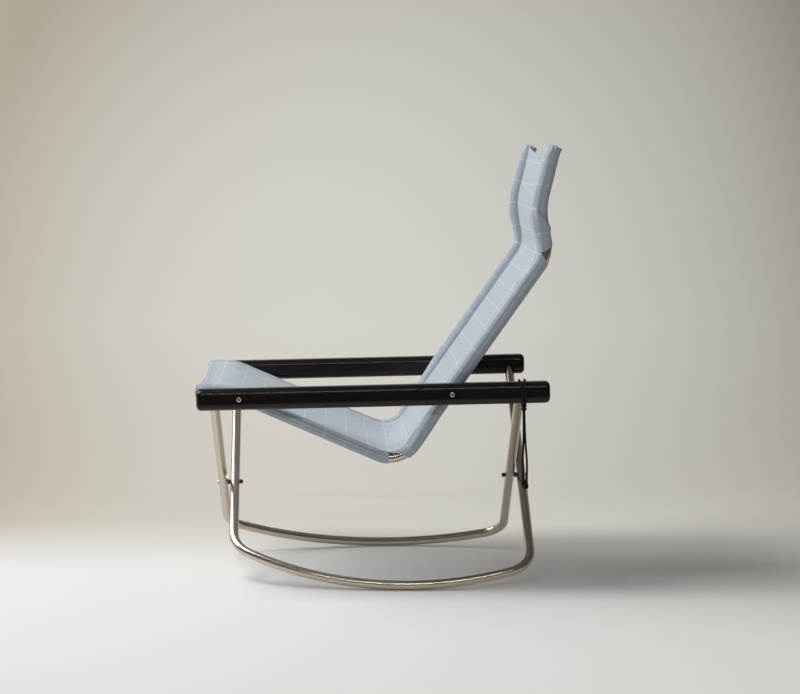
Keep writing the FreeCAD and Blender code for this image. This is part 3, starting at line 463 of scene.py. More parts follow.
@dataclass(frozen=True)
class Backdrop:
    """Pale seamless paper under and behind the chair, with painted shade that darkens it away from the lamps."""

    name: str = "PalePaper"
    # the wall's colour is set darker than the floor's as painted shade on the one sheet of paper
    wall: Colour = shade(0.655, 0.640, 0.600)
    # the floor's colour runs from left to right, lighter on the right as painted light
    floor: Colour = shade(0.735, 0.730, 0.722)
    floor_right: Colour = shade(0.870, 0.852, 0.815)
    # painted shade: the colour the wall darkens towards
    dim: Colour = shade(0.362, 0.332, 0.272)
    glow: float = 0.27
    floor_glow: float = 0.03
    wall_start: float = 0.02
    wall_blend: float = 0.62
    brightest: float = 0.42
    low_height: float = 0.35
    top_height: float = 0.55
    top_blend: float = 0.75
    dim_aside: float = 0.39
    dim_right: float = 0.32
    dim_top: float = 0.24
    dim_low: float = 0.20

    def build(self) -> bpy.types.Material:
        """Makes the material. Painted shade darkens the wall to its sides, top and foot, painted light makes the
        floor lighter to its right, and the wall's glow shows to the camera and in gloss.
        """
        art = Shader(self.name)
        spot = art.place()
        deep, across, height = (art.split(spot, axis) for axis in "XYZ")
        wall = ((self.wall_start - deep) / self.wall_blend).clamped()
        aside = across - self.brightest
        low = ((self.low_height - height) / self.low_height).apply("MAXIMUM", 0.0)
        top = ((height - self.top_height) / self.top_blend).apply("MAXIMUM", 0.0)
        right = aside.apply("MAXIMUM", 0.0).apply("POWER", 4.0)
        # painted shade: darkens the wall towards its sides, its top and its foot
        painted_shade = (aside * aside * self.dim_aside + right * self.dim_right + top * top * self.dim_top
                   + low * self.dim_low).apply("MINIMUM", 1.0)
        cloud = art.noise(spot, 0.6, 2.0)
        # painted light: the floor's colour is lighter towards its right-hand side
        painted_light_right = ((across + 0.7) / 1.4).clamped()
        plain = art.blend(wall, art.blend(painted_light_right, self.floor, self.floor_right), self.wall)
        # the painted shade is blended into the paper's colour here, with a little random cloud
        paper = art.blend(painted_shade * wall + (cloud - 0.5) * 0.04, plain, self.dim)
        seen = art.node("ShaderNodeLightPath", output="Is Camera Ray").apply(
            "MAXIMUM", art.node("ShaderNodeLightPath", output="Is Glossy Ray"))
        lit = art.blend(1.0, paper, art.blend(wall, grey(self.floor_glow), grey(self.glow)), "MULTIPLY")
        art.set(Base_Color=paper, Emission_Color=art.blend(seen, grey(0.0), lit), Emission_Strength=1.0,
                Roughness=0.95, Specular_IOR_Level=0.12)
        return art.material


# Mesh helpers

def linked(name: str, data: Any) -> bpy.types.Object:
    """Adds an object with this data to the scene, at the origin."""
    made = bpy.data.objects.new(name, data)
    bpy.context.scene.collection.objects.link(made)
    return made


def finished(mesh: bpy.types.Mesh, material: bpy.types.Material) -> bpy.types.Object:
    """Gives a mesh one finish and smooth faces, and adds it to the scene under its name."""
    mesh.materials.clear()
    mesh.materials.append(material)
    for polygon in mesh.polygons:
        polygon.use_smooth = True
    return linked(mesh.name, mesh)


def aimed(name: str, data: Any, place: Triple, way: Vector) -> bpy.types.Object:
    """Adds a lamp or camera at a place, looking along a way."""
    made = linked(name, data)
    made.location = place
    made.rotation_mode = "QUATERNION"
    made.rotation_quaternion = way.to_track_quat("-Z", "Y")
    return made


def mesh_object(name: str, verts: Sequence[Sequence[float]], faces: Sequence[Sequence[int]],
                material: bpy.types.Material,
                maps: dict[str, Sequence[Sequence[Point]]] | None = None) -> bpy.types.Object:
    """Makes one smooth mesh piece at the origin.

    Args:
        name: the piece's name.
        verts: its points in metres.
        faces: its faces.
        material: its finish.
        maps: UV maps by name, each with a place for every corner of every face.

    Returns:
        The new object, linked into the scene.
    """
    mesh = bpy.data.meshes.new(name)
    mesh.from_pydata([tuple(v) for v in verts], [], [tuple(f) for f in faces])
    for key, corners in (maps or {}).items():
        layer = mesh.uv_layers.new(name=key)
        places = [place for face in corners for place in face]
        for item, place in zip(layer.data, places):
            item.uv = place
    return finished(mesh, material)


def applied(piece: bpy.types.Object) -> bpy.types.Object:
    """Turns a piece's modifiers, or its curve, into plain mesh.

    Args:
        piece: the piece, which stays in the scene under its name.

    Returns:
        The piece with its finished mesh.
    """
    bpy.context.view_layer.update()
    graph = bpy.context.evaluated_depsgraph_get()
    mesh = bpy.data.meshes.new_from_object(piece.evaluated_get(graph))
    mesh.name = piece.name
    if piece.type == "MESH":
        piece.modifiers.clear()
        piece.data = mesh
        return piece
    name = piece.name
    bpy.data.objects.remove(piece)
    return linked(name, mesh)


def dress(node: str, material: bpy.types.Material) -> None:
    """Gives a node of the frame its finish."""
    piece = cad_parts[node]
    for slot in piece.material_slots:
        slot.material = material


# Camera, lamps and paper

@dataclass(frozen=True)
class Lamp:
    """One soft box."""

    name: str
    place: Triple
    aim: Triple
    size: Point
    power: float

    def build(self) -> None:
        """Adds the lamp to the scene."""
        data = bpy.data.lights.new(self.name, "AREA")
        data.shape = "RECTANGLE"
        data.size, data.size_y = self.size
        data.energy = self.power
        aimed(self.name, data, self.place, Vector(self.aim) - Vector(self.place))


@dataclass(frozen=True)
class Studio:
    """The camera at the photograph's angle, soft lamps and the pale sweep of paper."""

    place: Triple = (4.600, -0.1014, 0.870)
    focal_px: float = 2240.0
    width: int = 800
    height: int = 694
    vanishing: Point = (325.0, 147.0)
    air: float = 0.09
    paper_front: tuple[float, ...] = (1.15, 0.8, 0.2)
    paper_bend: float = -0.9
    paper_radius: float = 1.7
    paper_steps: int = 16
    paper_top: float = 7.0
    paper_columns: tuple[float, ...] = (-9.0, -3.0, 0.0, 3.0, 9.0)
    lamps: tuple[Lamp, ...] = (
        Lamp("BoxLeft", (-0.7, -3.1, 2.5), (-0.1, 0.0, 0.45), (3.0, 2.2), 94.0),
        Lamp("BoxAbove", (0.45, -1.45, 2.9), (0.0, 0.0, 0.3), (1.3, 1.3), 51.0),
        Lamp("StripAbove", (2.9, 0.0, 2.25), (0.3, 0.0, 0.4), (2.8, 0.05), 20.0),
    )

    def camera(self) -> None:
        """Places the camera, with the across axis at its vanishing point and no shift."""
        data = bpy.data.cameras.new("Camera")
        data.sensor_fit = "HORIZONTAL"
        data.sensor_width = 36.0
        data.lens = self.focal_px / self.width * data.sensor_width
        data.clip_start, data.clip_end = 0.05, 60.0
        pitch = math.atan((self.height / 2 - self.vanishing[1]) / self.focal_px)
        yaw = math.atan((self.vanishing[0] - self.width / 2) / self.focal_px * math.cos(pitch))
        flat = Vector((-math.cos(yaw), -math.sin(yaw), 0.0))
        aim = flat * math.cos(pitch) - Vector((0.0, 0.0, math.sin(pitch)))
        bpy.context.scene.camera = aimed("Camera", data, self.place, aim)

    def sweep(self) -> None:
        """The paper: a floor that curves up into a wall behind the chair."""
        rows: list[Point] = [(x, 0.0) for x in (*self.paper_front, self.paper_bend)]
        for step in range(1, self.paper_steps + 1):
            turn = math.pi / 2 * step / self.paper_steps
            rows.append((self.paper_bend - self.paper_radius * math.sin(turn),
                         self.paper_radius * (1 - math.cos(turn))))
        rows.append((rows[-1][0], self.paper_top))
        verts = [(x, y, z) for x, z in rows for y in self.paper_columns]
        wide = len(self.paper_columns)
        faces = [(r * wide + c, r * wide + c + 1, r * wide + c + wide + 1, r * wide + c + wide)
                 for r in range(len(rows) - 1) for c in range(wide - 1)]
        mesh_object("PaperSweep", verts, faces, Backdrop().build())

    def build(self) -> None:
        """Sets camera, lamps, world and paper."""
        bpy.context.scene.view_settings.view_transform = "Standard"
        self.camera()
        self.sweep()
        for lamp in self.lamps:
            lamp.build()
        world = bpy.data.worlds.new("StudioAir")
        bpy.context.scene.world = world
        world.use_nodes = True
        sky = world.node_tree.nodes["Background"].inputs
        sky["Color"].default_value = grey(1.0)
        sky["Strength"].default_value = self.air
        log.info("studio: camera, %d lamps and paper", len(self.lamps))


# Cord

@dataclass
class HitchedCord:
    """The black cord round the rear of the left arm: two turns, a hitch, two strands and a stopper knot."""

    radius: float = 0.0021
    hang_x: float = 0.293
    first_turn: float = 0.2892
    hang_y: float = 0.2912
    pitch: float = 0.0046
    gap: float = 0.0003
    corner: float = 0.014
    top: float = -0.02155
    drop: float = 0.189
    hitch_length: float = 0.014
    hitch_width: float = 0.013
    stopper_length: float = 0.0175
    stopper_width: float = 0.014
    apart: Point = (0.0021, 0.0006)
    slants: Point = (-0.0062, 0.0003)
    turn_points: int = 48
    knot_points: int = 22

    def build(self) -> None:
        """Makes the cord's pieces and its two strands."""
        finish = Braid().build()
        high = self.top - self.hitch_length / 2
        low = -self.drop + self.stopper_length / 2
        turns = self._turns(finish)
        hitch = self._knot("CordHitch", high, self.hitch_width, self.hitch_length, finish, 3, 2)
        stopper = self._knot("CordStopper", low, self.stopper_width, self.stopper_length, finish, 2, 3)
        for piece, node in ((turns, "cord_arm_loops"), (hitch, "cord_hitch_knot"), (stopper, "cord_stopper_knot")):
            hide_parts(node)
        strands = []
        for word, step in (("front", -1), ("rear", 1)):
            strand = self._strand(f"CordStrand{word.title()}", step, high, low, finish)
            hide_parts(f"cord_strand_{word}")
            strands.append(strand)
            start = BENCH.point(self.hang_x + step * self.apart[0], self.hang_y + step * self.apart[1], high)
        for piece in (turns, hitch, stopper, *strands):
            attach(piece, "left_side")

    def _curve(self, name: str, points: Sequence[Vector], finish: bpy.types.Material,
               closed: bool = False) -> bpy.types.Object:
        """A round cord on a smooth spline through its route's points."""
        curve = bpy.data.curves.new(name, "CURVE")
        curve.dimensions = "3D"
        curve.resolution_u = 8
        curve.bevel_depth = self.radius
        curve.bevel_resolution = 3
        curve.use_fill_caps = True
        spline = curve.splines.new("NURBS")
        spline.points.add(len(points) - 1)
        for place, point in zip(spline.points, points):
            place.co = (*point, 1.0)
        spline.order_u = 3
        spline.use_endpoint_u = not closed
        spline.use_cyclic_u = closed
        curve.materials.append(finish)
        return linked(name, curve)

    def _strand(self, name: str, step: int, high: float, low: float,
                finish: bpy.types.Material) -> bpy.types.Object:
        """One hanging strand. It hangs behind the other as seen from the side, then parts from it."""
        places = [(*self.apart, high), (0.0022, 0.0008, -0.0665), (0.0012, 0.0020, -0.1044),
                  (0.0, 0.0050, -0.1423), (0.0, 0.0030, low)]
        points = [BENCH.point(self.hang_x + step * x, self.hang_y + step * y, z) for x, y, z in places]
        return self._curve(name, points, finish)

    def _turns(self, finish: bpy.types.Material) -> bpy.types.Object:
        """The two turns round the arm. The front one slants forward over the top."""
        gap = self.radius + self.gap
        reach_x = BENCH.arm_width / 2 - self.corner
        reach_z = BENCH.arm_height / 2 - self.corner
        round_off = self.corner + gap
        meshes = []
        for turn in range(2):
            points = []
            for step in range(self.turn_points):
                angle = 2 * math.pi * (step + 0.5) / self.turn_points
                slant = max(0.0, math.sin(angle)) ** 2 * self.slants[turn]
                along = self.first_turn + self.pitch * turn + slant
                reach = self._edge(math.cos(angle), math.sin(angle), reach_x, reach_z, round_off)
                points.append(BENCH.point(BENCH.arm_x + math.cos(angle) * reach, along, math.sin(angle) * reach))
            meshes.append(applied(self._curve(f"CordTurn{turn}", points, finish, True)))
        return joined("CordTurns", meshes)

    def _edge(self, cosine: float, sine: float, reach_x: float, reach_z: float, corner: float) -> float:
        """Distance from the arm's axis to the rounded outline in one direction."""
        low, high = 0.0, 0.1
        for _ in range(30):
            length = (low + high) / 2
            x, z = abs(cosine) * length, abs(sine) * length
            if math.hypot(max(x - reach_x, 0.0), max(z - reach_z, 0.0)) > corner:
                high = length
            else:
                low = length
        return low

    def _knot(self, name: str, middle: float, width: float, length: float, finish: bpy.types.Material,
              rounds: int, waves: int) -> bpy.types.Object:
        """A tight knot: one closed strand that winds over itself."""
        points = []
        count = self.knot_points * waves
        for step in range(count):
            angle = 2 * math.pi * step / count
            around = rounds * angle
            reach = (width / 2 - self.radius) * (0.62 + 0.38 * math.cos(waves * angle))
            rise = (length / 2 - self.radius) * math.sin(waves * angle)
            points.append(BENCH.point(self.hang_x + reach * math.cos(around),
                                      self.hang_y + reach * math.sin(around), middle + rise))
        return applied(self._curve(name, points, finish, True))


def joined(name: str, pieces: Sequence[bpy.types.Object]) -> bpy.types.Object:
    """Joins meshes of one finish into one piece.

    Args:
        name: the new piece's name.
        pieces: the meshes, which are used up.

    Returns:
        The joined piece.
    """
    work = bmesh.new()
    material = pieces[0].data.materials[0]
    for piece in pieces:
        work.from_mesh(piece.data)
        bpy.data.objects.remove(piece)
    mesh = bpy.data.meshes.new(name)
    work.to_mesh(mesh)
    work.free()
    return finished(mesh, material)


# Sling

@dataclass
class RailRoute:
    """The line of a rail in its own plane: runs and bends from the front end to the head."""

    corners: Sequence[Point]
    radii: Sequence[float]
    spots: list[tuple[float, float, float, float, float]] = field(default_factory=list)

    def __post_init__(self) -> None:
        """Works out the runs and bends as (length, y, z, heading, curvature)."""
        travelled = 0.0
        here = Vector(self.corners[0])
        after = Vector(self.corners[1]) - here
        for index, radius in enumerate(self.radii, start=1):
            corner = Vector(self.corners[index])
            before = (corner - Vector(self.corners[index - 1])).normalized()
            after = (Vector(self.corners[index + 1]) - corner).normalized()
            turn = math.atan2(before.x * after.y - before.y * after.x, before.dot(after))
            reach = radius * math.tan(abs(turn) / 2)
            heading = math.atan2(before.y, before.x)
            self.spots.append((travelled, here.x, here.y, heading, 0.0))
            enter = corner - before * reach
            travelled += (enter - here).length
            self.spots.append((travelled, enter.x, enter.y, heading, math.copysign(1 / radius, turn)))
            travelled += radius * abs(turn)
            here = corner + after * reach
        self.spots.append((travelled, here.x, here.y, math.atan2(after.y, after.x), 0.0))
        self.length = travelled + (Vector(self.corners[-1]) - here).length

    def at(self, place: float) -> tuple[Vector, Vector, Vector]:
        """Position, direction and left-hand normal at a distance along the rail.

        Args:
            place: distance in metres from the front end.

        Returns:
            Three vectors in the rail's plane, as (y, z).
        """
        spot = self.spots[0]
        for other in self.spots:
            if other[0] <= place:
                spot = other
        start, y, z, heading, curvature = spot
        run = place - start
        if curvature:
            turned = heading + run * curvature
            y += (math.sin(turned) - math.sin(heading)) / curvature
            z -= (math.cos(turned) - math.cos(heading)) / curvature
            heading = turned
        else:
            y += run * math.cos(heading)
            z += run * math.sin(heading)
        way = Vector((math.cos(heading), math.sin(heading)))
        return Vector((y, z)), way, Vector((-way.y, way.x))


def rail_route() -> RailRoute:
    """The rail's route, from the same sizes as the frame's rail."""
    seat, back, neck, top = (math.radians(a) for a in (BENCH.seat_slope, BENCH.back_slope, 99.4, 75.3))
    front_end, lift, back_rise, neck_rise, top_rise = -0.345, 0.014, 0.2645, 0.089, 0.114
    radii = [0.080, 0.056, 0.062, 0.135]
    drop = (BENCH.rear_bolt - BENCH.front_bolt) / (1 / math.tan(seat) + 1 / math.tan(back))
    corners = [(front_end, lift), (BENCH.front_bolt - lift / math.tan(seat), lift),
               (BENCH.front_bolt + drop / math.tan(seat), -drop),
               (BENCH.rear_bolt + back_rise / math.tan(back), back_rise)]
    for angle, rise in ((neck, neck_rise), (top, top_rise)):
        corners.append((corners[-1][0] + rise / math.tan(angle), corners[-1][1] + rise))
    return RailRoute(corners, radii)


@dataclass(frozen=True)
class Fold:
    """A crease, from one place on the flat to another, which may fall away more softly on its right."""

    start: Point
    end: Point
    width: float
    height: float
    soft: float = 0.0

    def rise(self, across: float, along: float) -> float:
        """Height of the crease at a place on the flat."""
        run = Vector(self.end) - Vector(self.start)
        here = Vector((across, along)) - Vector(self.start)
        share = clamp(here.dot(run) / run.length_squared)
        gap = (here - run * share).length
        width = self.soft if self.soft and run.cross(here) < 0 else self.width
        if gap > 3 * width:
            return 0.0
        return self.height * bell(gap, 0.0, width) * math.sin(math.pi * share) ** 0.6


class SeamStitches:
    """Rows of short stitches laid along paths by a node tree."""

    def __init__(self, thread: bpy.types.Material) -> None:
        """Builds the tree: paths are divided evenly, and a stitch lies along each at every step."""
        tree = bpy.data.node_groups.new("SeamStitches", "GeometryNodeTree")
        face = tree.interface
        face.new_socket("Paths", in_out="INPUT", socket_type="NodeSocketGeometry")
        self.keys = {name: face.new_socket(name, in_out="INPUT", socket_type="NodeSocketFloat").identifier
                     for name in ("Step", "Length", "Thickness")}
        face.new_socket("Stitches", in_out="OUTPUT", socket_type="NodeSocketGeometry")
        made = {key: tree.nodes.new(kind) for key, kind in (
            ("in", "NodeGroupInput"), ("curve", "GeometryNodeMeshToCurve"), ("even", "GeometryNodeResampleCurve"),
            ("way", "GeometryNodeInputTangent"), ("turn", "FunctionNodeAlignRotationToVector"),
            ("stitch", "GeometryNodeMeshCylinder"), ("lay", "GeometryNodeInstanceOnPoints"),
            ("real", "GeometryNodeRealizeInstances"), ("skin", "GeometryNodeSetMaterial"),
            ("out", "NodeGroupOutput"))}
        made["even"].mode = "LENGTH"
        made["turn"].axis = "Z"
        made["stitch"].fill_type = "TRIANGLE_FAN"
        made["stitch"].inputs["Vertices"].default_value = 6
        made["skin"].inputs["Material"].default_value = thread
        for source, output, target, socket in (
                ("in", "Paths", "curve", "Mesh"), ("curve", "Curve", "even", "Curve"),
                ("in", "Step", "even", "Length"), ("way", "Tangent", "turn", "Vector"),
                ("in", "Length", "stitch", "Depth"), ("in", "Thickness", "stitch", "Radius"),
                ("even", "Curve", "lay", "Points"),
                ("stitch", "Mesh", "lay", "Instance"), ("turn", "Rotation", "lay", "Rotation"),
                ("lay", "Instances", "real", "Geometry"), ("real", "Geometry", "skin", "Geometry"),
                ("skin", "Geometry", "out", "Stitches")):
            tree.links.new(made[source].outputs[output], made[target].inputs[socket])
        self.tree = tree

    def lay(self, name: str, paths: Sequence[Sequence[Vector]], step: float = 0.0042, length: float = 0.0031,
            thickness: float = 0.00042) -> bpy.types.Object:
        """Lays stitches along paths.

        Args:
            name: the new piece's name.
            paths: lines of points in metres.
            step: distance from one stitch to the next.
            length: length of a stitch.
            thickness: radius of the thread.

        Returns:
            The stitches as one plain mesh.
        """
        verts: list[Vector] = []
        edges: list[tuple[int, int]] = []
        for path in paths:
            edges += [(len(verts) + i, len(verts) + i + 1) for i in range(len(path) - 1)]
            verts += path
        mesh = bpy.data.meshes.new(name)
        mesh.from_pydata([tuple(v) for v in verts], edges, [])
        made = linked(name, mesh)
        modifier = made.modifiers.new("Stitches", "NODES")
        modifier.node_group = self.tree
        for key, value in (("Step", step), ("Length", length), ("Thickness", thickness)):
            modifier[self.keys[key]] = value
        return applied(made)


class Opening(Enum):
    """How a cut runs round a sleeve: square, or open outside and below, or open behind."""

    SQUARE = 0
    BELOW = 1
    BEHIND = 2

    def share(self, angle: float, radius: float) -> float:
        """How much of the cut's reach is taken at this angle from the outer side, forward being positive."""
        if self is Opening.BELOW:
            middle, level, blend = -0.87, -0.72, 0.75
            return smooth(clamp((math.cos(angle - middle) - level) / blend)) * (0.80 - 0.20 * math.sin(angle))
        if self is Opening.BEHIND:
            foremost, depth, curve = 0.0078, 0.0172, 0.8
            return clamp(1 + math.cos(angle)) * clamp((foremost - math.sin(angle) * radius) / depth) ** curve
        return 1.0


@dataclass(frozen=True)
class Cut:
    """One end of a stretch of sleeve: its place along the rail, and how far the cut takes it."""

    place: float
    reach: float = 0.0
    opening: Opening = Opening.SQUARE

    def at(self, angle: float, radius: float) -> float:
        """The end's place along the rail at this angle."""
        return self.place + self.reach * self.opening.share(angle, radius)


@dataclass
class Sling:
    """The cotton: the sheet between the rails, and a wide sleeve sewn round each rail."""

    half: float = 0.2432
    level: float = 0.004
    thickness: float = 0.0014
    hem: float = 0.011
    hem_thickness: float = 0.0026
    sag: float = 0.004
    edge_rise: float = 0.0062
    edge_width: float = 0.016
    edge_end: float = 0.45
    edge_blend: float = 0.06
    front_scoop: float = 0.003
    top_scoop: float = 0.0095
    sleeve_middle: float = 0.0105
    rings: int = 64
    columns: int = 72
    row_step: float = 0.007
    sleeve_step: float = 0.0032
    raw_edge: float = 0.0018
    head_past: float = 0.0035
    stitch_lift: float = 0.0002
    seat_notch: float = 0.017
    seat_reach: float = 0.0356
    neck_reaches: Point = (-0.0185, 0.0160)
    gather_rows: int = 9
    gather_height: float = 0.0052
    gather_centre: float = 0.003
    puckers: int = 9
    pucker_length: float = 0.014
    pucker_height: float = 0.0010
    pucker_share: float = 0.10
    swells: tuple[Point, ...] = ((0.0, 0.0), (0.04, 0.0006), (0.30, 0.001), (0.44, 0.002), (0.50, 0.0045),
                                 (0.62, 0.0095), (0.86, 0.0095), (0.92, 0.010), (0.985, 0.0125), (1.08, 0.0105),
                                 (1.108, 0.0085), (1.124, 0.0035))
    panel_folds: tuple[Fold, ...] = (
        Fold((-0.235, 0.010), (-0.05, 0.16), 0.020, 0.0030), Fold((0.235, 0.012), (0.04, 0.17), 0.022, 0.0032),
        Fold((0.225, 0.395), (0.10, 0.47), 0.016, -0.0030), Fold((-0.225, 0.395), (-0.12, 0.46), 0.016, -0.0026),
        Fold((0.230, 0.905), (0.05, 0.93), 0.013, -0.0022), Fold((-0.230, 0.905), (-0.04, 0.935), 0.013, -0.0022),
        Fold((0.10, 1.06), (0.235, 1.115), 0.016, 0.0020), Fold((-0.10, 1.06), (-0.235, 1.115), 0.016, 0.0020),
    )
    sleeve_folds: tuple[Fold, ...] = (
        Fold((0.286, 1.008), (0.3150, 0.957), 0.0018, 0.0052, 0.012),
        Fold((0.264, 0.432), (0.270, 0.492), 0.0040, -0.0026), Fold((0.276, 0.446), (0.286, 0.520), 0.0036, 0.0016),
        Fold((0.268, 0.842), (0.276, 0.905), 0.0036, -0.0022), Fold((0.264, 0.905), (0.268, 0.975), 0.0040, -0.0022),
        Fold((0.262, 0.008), (0.270, 0.050), 0.0035, 0.0014), Fold((0.270, 0.360), (0.262, 0.405), 0.0035, 0.0016),
    )
    route: RailRoute = field(default_factory=rail_route)
    sections: dict[int, list[Triple]] = field(default_factory=dict)

    def __post_init__(self) -> None:
        """Finds the middles of the rail's bends at the seat and the neck."""
        bends = [spot[0] for spot in self.route.spots]
        self.seat_bend = (bends[3] + bends[4]) / 2
        self.neck_bend = (bends[5] + bends[6]) / 2

    def build(self) -> None:
        """Makes the sheet and sleeves and gives them to the sides."""
        finish = CheckedCotton().build()
        stitches = SeamStitches(SewingThread().build())
        self._panel(finish, stitches)
        for side in Side:
            self._sleeve(side, finish)
        log.info("sling: route of %.4f m, bends at %.4f and %.4f", self.route.length, self.seat_bend, self.neck_bend)

    def _on_panel(self, across: float, along: float, lift: float = 0.0) -> Vector:
        """A place on the sheet, with its sag and folds."""
        slack = 1 - (across / self.half) ** 2
        spot, _, normal = self.route.at(along)
        rise = self.level + lift + sum(fold.rise(across, along) for fold in self.panel_folds)
        taut = clamp((self.edge_end - along) / self.edge_blend)
        rise += self.edge_rise * taut * bell(self.half, abs(across), self.edge_width)
        lean = math.radians((BENCH.back_slope - BENCH.seat_slope) / 2)
        return BENCH.point(across, spot.x + normal.x * rise + math.sin(lean) * self.sag * slack,
                           spot.y + normal.y * rise - math.cos(lean) * self.sag * slack)

    def _ends(self, across: float) -> Point:
        """Where the sheet's front and top hems lie at a place across it."""
        slack = 1 - (across / self.half) ** 2
        return self.front_scoop * slack, self.route.length + self.head_past - self.top_scoop * slack

    def _panel_rows(self) -> list[tuple[str, float]]:
        """The sheet's rows of points: close together in the hems, even between them."""
        margin = 0.02
        steps = [0.0, 0.0005, 0.0013, 0.0045, 0.0078, self.hem, self.hem + 0.0012]
        span = self.route.length - 2 * margin
        count = int(span / self.row_step)
        middle = [("middle", margin + span * row / count) for row in range(count + 1)]
        return [("start", step) for step in steps] + middle + [("end", step) for step in reversed(steps)]

    def _panel_faces(self, tall: int) -> list[tuple[int, ...]]:
        """The sheet's faces: both layers, then the rim that joins them all round."""
        wide = self.columns + 1
        layer = wide * tall
        faces: list[tuple[int, ...]] = []
        for row in range(tall - 1):
            for column in range(self.columns):
                a = row * wide + column
                faces.append((a, a + 1, a + wide + 1, a + wide))
                faces.append(tuple(layer + i for i in (a, a + wide, a + wide + 1, a + 1)))
        rim = [*range(wide), *(row * wide + wide - 1 for row in range(1, tall)),
               *(layer - 1 - column for column in range(1, wide)), *(row * wide for row in range(tall - 2, 0, -1))]
        for here, there in zip(rim, rim[1:] + rim[:1]):
            faces.append((there, here, here + layer, there + layer))
        return faces

    def _panel(self, finish: bpy.types.Material, stitches: SeamStitches) -> None:
        """The sheet between the rails, thicker at its folded hems, with its rows of stitches."""
        rows = self._panel_rows()
        verts: list[Vector] = []
        places: list[Point] = []
        for layer in (1, -1):
            for kind, value in rows:
                for column in range(self.columns + 1):
                    across = self.half * (2 * column / self.columns - 1)
                    first, last = self._ends(across)
                    along = {"start": first + value, "middle": value, "end": last - value}[kind]
                    depth = min(along - first, last - along)
                    thick = self.hem_thickness if depth < self.hem + 0.0006 else self.thickness
                    thick *= min(1.0, 0.35 + depth / 0.0013 * 0.65)
                    verts.append(self._on_panel(across, along, layer * thick / 2))
                    places.append((across, along))
        faces = self._panel_faces(len(rows))
        maps = {"Cloth": [[places[i] for i in face] for face in faces],
                "Edge": [[(0.0, 0.0)] * len(face) for face in faces]}
        panel = mesh_object("SlingPanel", verts, faces, finish, maps)
        sewn = stitches.lay("SlingStitches", self._seams())
        for piece in (panel, sewn):
            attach(piece, "left_side")
        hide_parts("sling_panel")
        for piece in (panel, sewn):
            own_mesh(piece)

    def _seams(self) -> list[list[Vector]]:
        """The paths of the sheet's stitches: beside each sleeve, and two rows in each hem."""
        paths = []
        side_inset, hem_inset, long_steps, hem_steps = 0.003, 0.0022, 300, 80
        lift = self.thickness / 2 + self.stitch_lift
        for across in (-self.half + side_inset, self.half - side_inset):
            first, last = self._ends(across)
            paths.append([self._on_panel(across, first + (last - first) * i / long_steps, lift)
                          for i in range(long_steps + 1)])
        lift = self.hem_thickness / 2 + self.stitch_lift
        for inset in (hem_inset, self.hem - hem_inset):
            for end, way in ((0, 1), (1, -1)):
                line = []
                for i in range(hem_steps + 1):
                    across = self.half * 0.985 * (2 * i / hem_steps - 1)
                    line.append(self._on_panel(across, self._ends(across)[end] + way * inset, lift))
                paths.append(line)
        return paths

    def _swell(self, along: float) -> float:
        """How far the sleeve stands out ahead of the rail at a distance along it."""
        for (first, low), (second, high) in zip(self.swells, self.swells[1:]):
            if first <= along <= second:
                share = (along - first) / (second - first)
                return low + (high - low) * smooth(share)
        return self.swells[-1][1]

    def _angle(self, step: int) -> float:
        """The angle round the rail at a step, from the seam over the front and round."""
        return math.pi - 2 * math.pi * step / self.rings

    def _ring(self, along: float) -> list[Triple]:
        """The sleeve's section as (outward, forward, place on the flat), from its seam over the front and round."""
        ring: list[Triple] = []
        flat = self.half
        for step in range(self.rings + 1):
            angle = self._angle(step)
            reach = self.sleeve_middle + self._swell(along) * bell(angle, 1.66, 0.70)
            reach += 0.18 * self._swell(along) * bell(angle, 0.72, 0.34)
            reach += 0.0030 * bell(angle, -1.0, 0.9) * bell(along, 0.475, 0.045)
            spot = (math.cos(angle) * reach, math.sin(angle) * reach)
            if ring:
                flat += math.hypot(spot[0] - ring[-1][0], spot[1] - ring[-1][1])
            ring.append((*spot, flat))
        return ring

    def _cuts(self) -> list[tuple[Cut, Cut]]:
        """The ends of the sleeve's three stretches: its front, its back and its head."""
        seat, neck = self.seat_bend - self.seat_notch, self.neck_bend
        below, above = self.neck_reaches
        return [(Cut(-0.0005), Cut(seat)),
                (Cut(seat + 0.0004, self.seat_reach, Opening.BELOW), Cut(neck - 0.0003, below, Opening.BEHIND)),
                (Cut(neck + 0.0003, above, Opening.BEHIND), Cut(self.route.length + 0.0030))]

    def _sleeve(self, side: Side, finish: bpy.types.Material) -> None:
        """The sleeve round one rail, in three stretches between the notches."""
        pieces = []
        for number, (start, end) in enumerate(self._cuts()):
            pieces.append(self._stretch(f"SleevePart{side.word}{number}", side, start, end, number == 2, finish))
        sleeve = joined(f"SlingSleeve{side.name.title()}", pieces)
        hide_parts(f"sling_sleeve_{side.word}")
        around = self._ring(0.7)[-1][2] - self.half
        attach(sleeve, f"{side.word}_side")

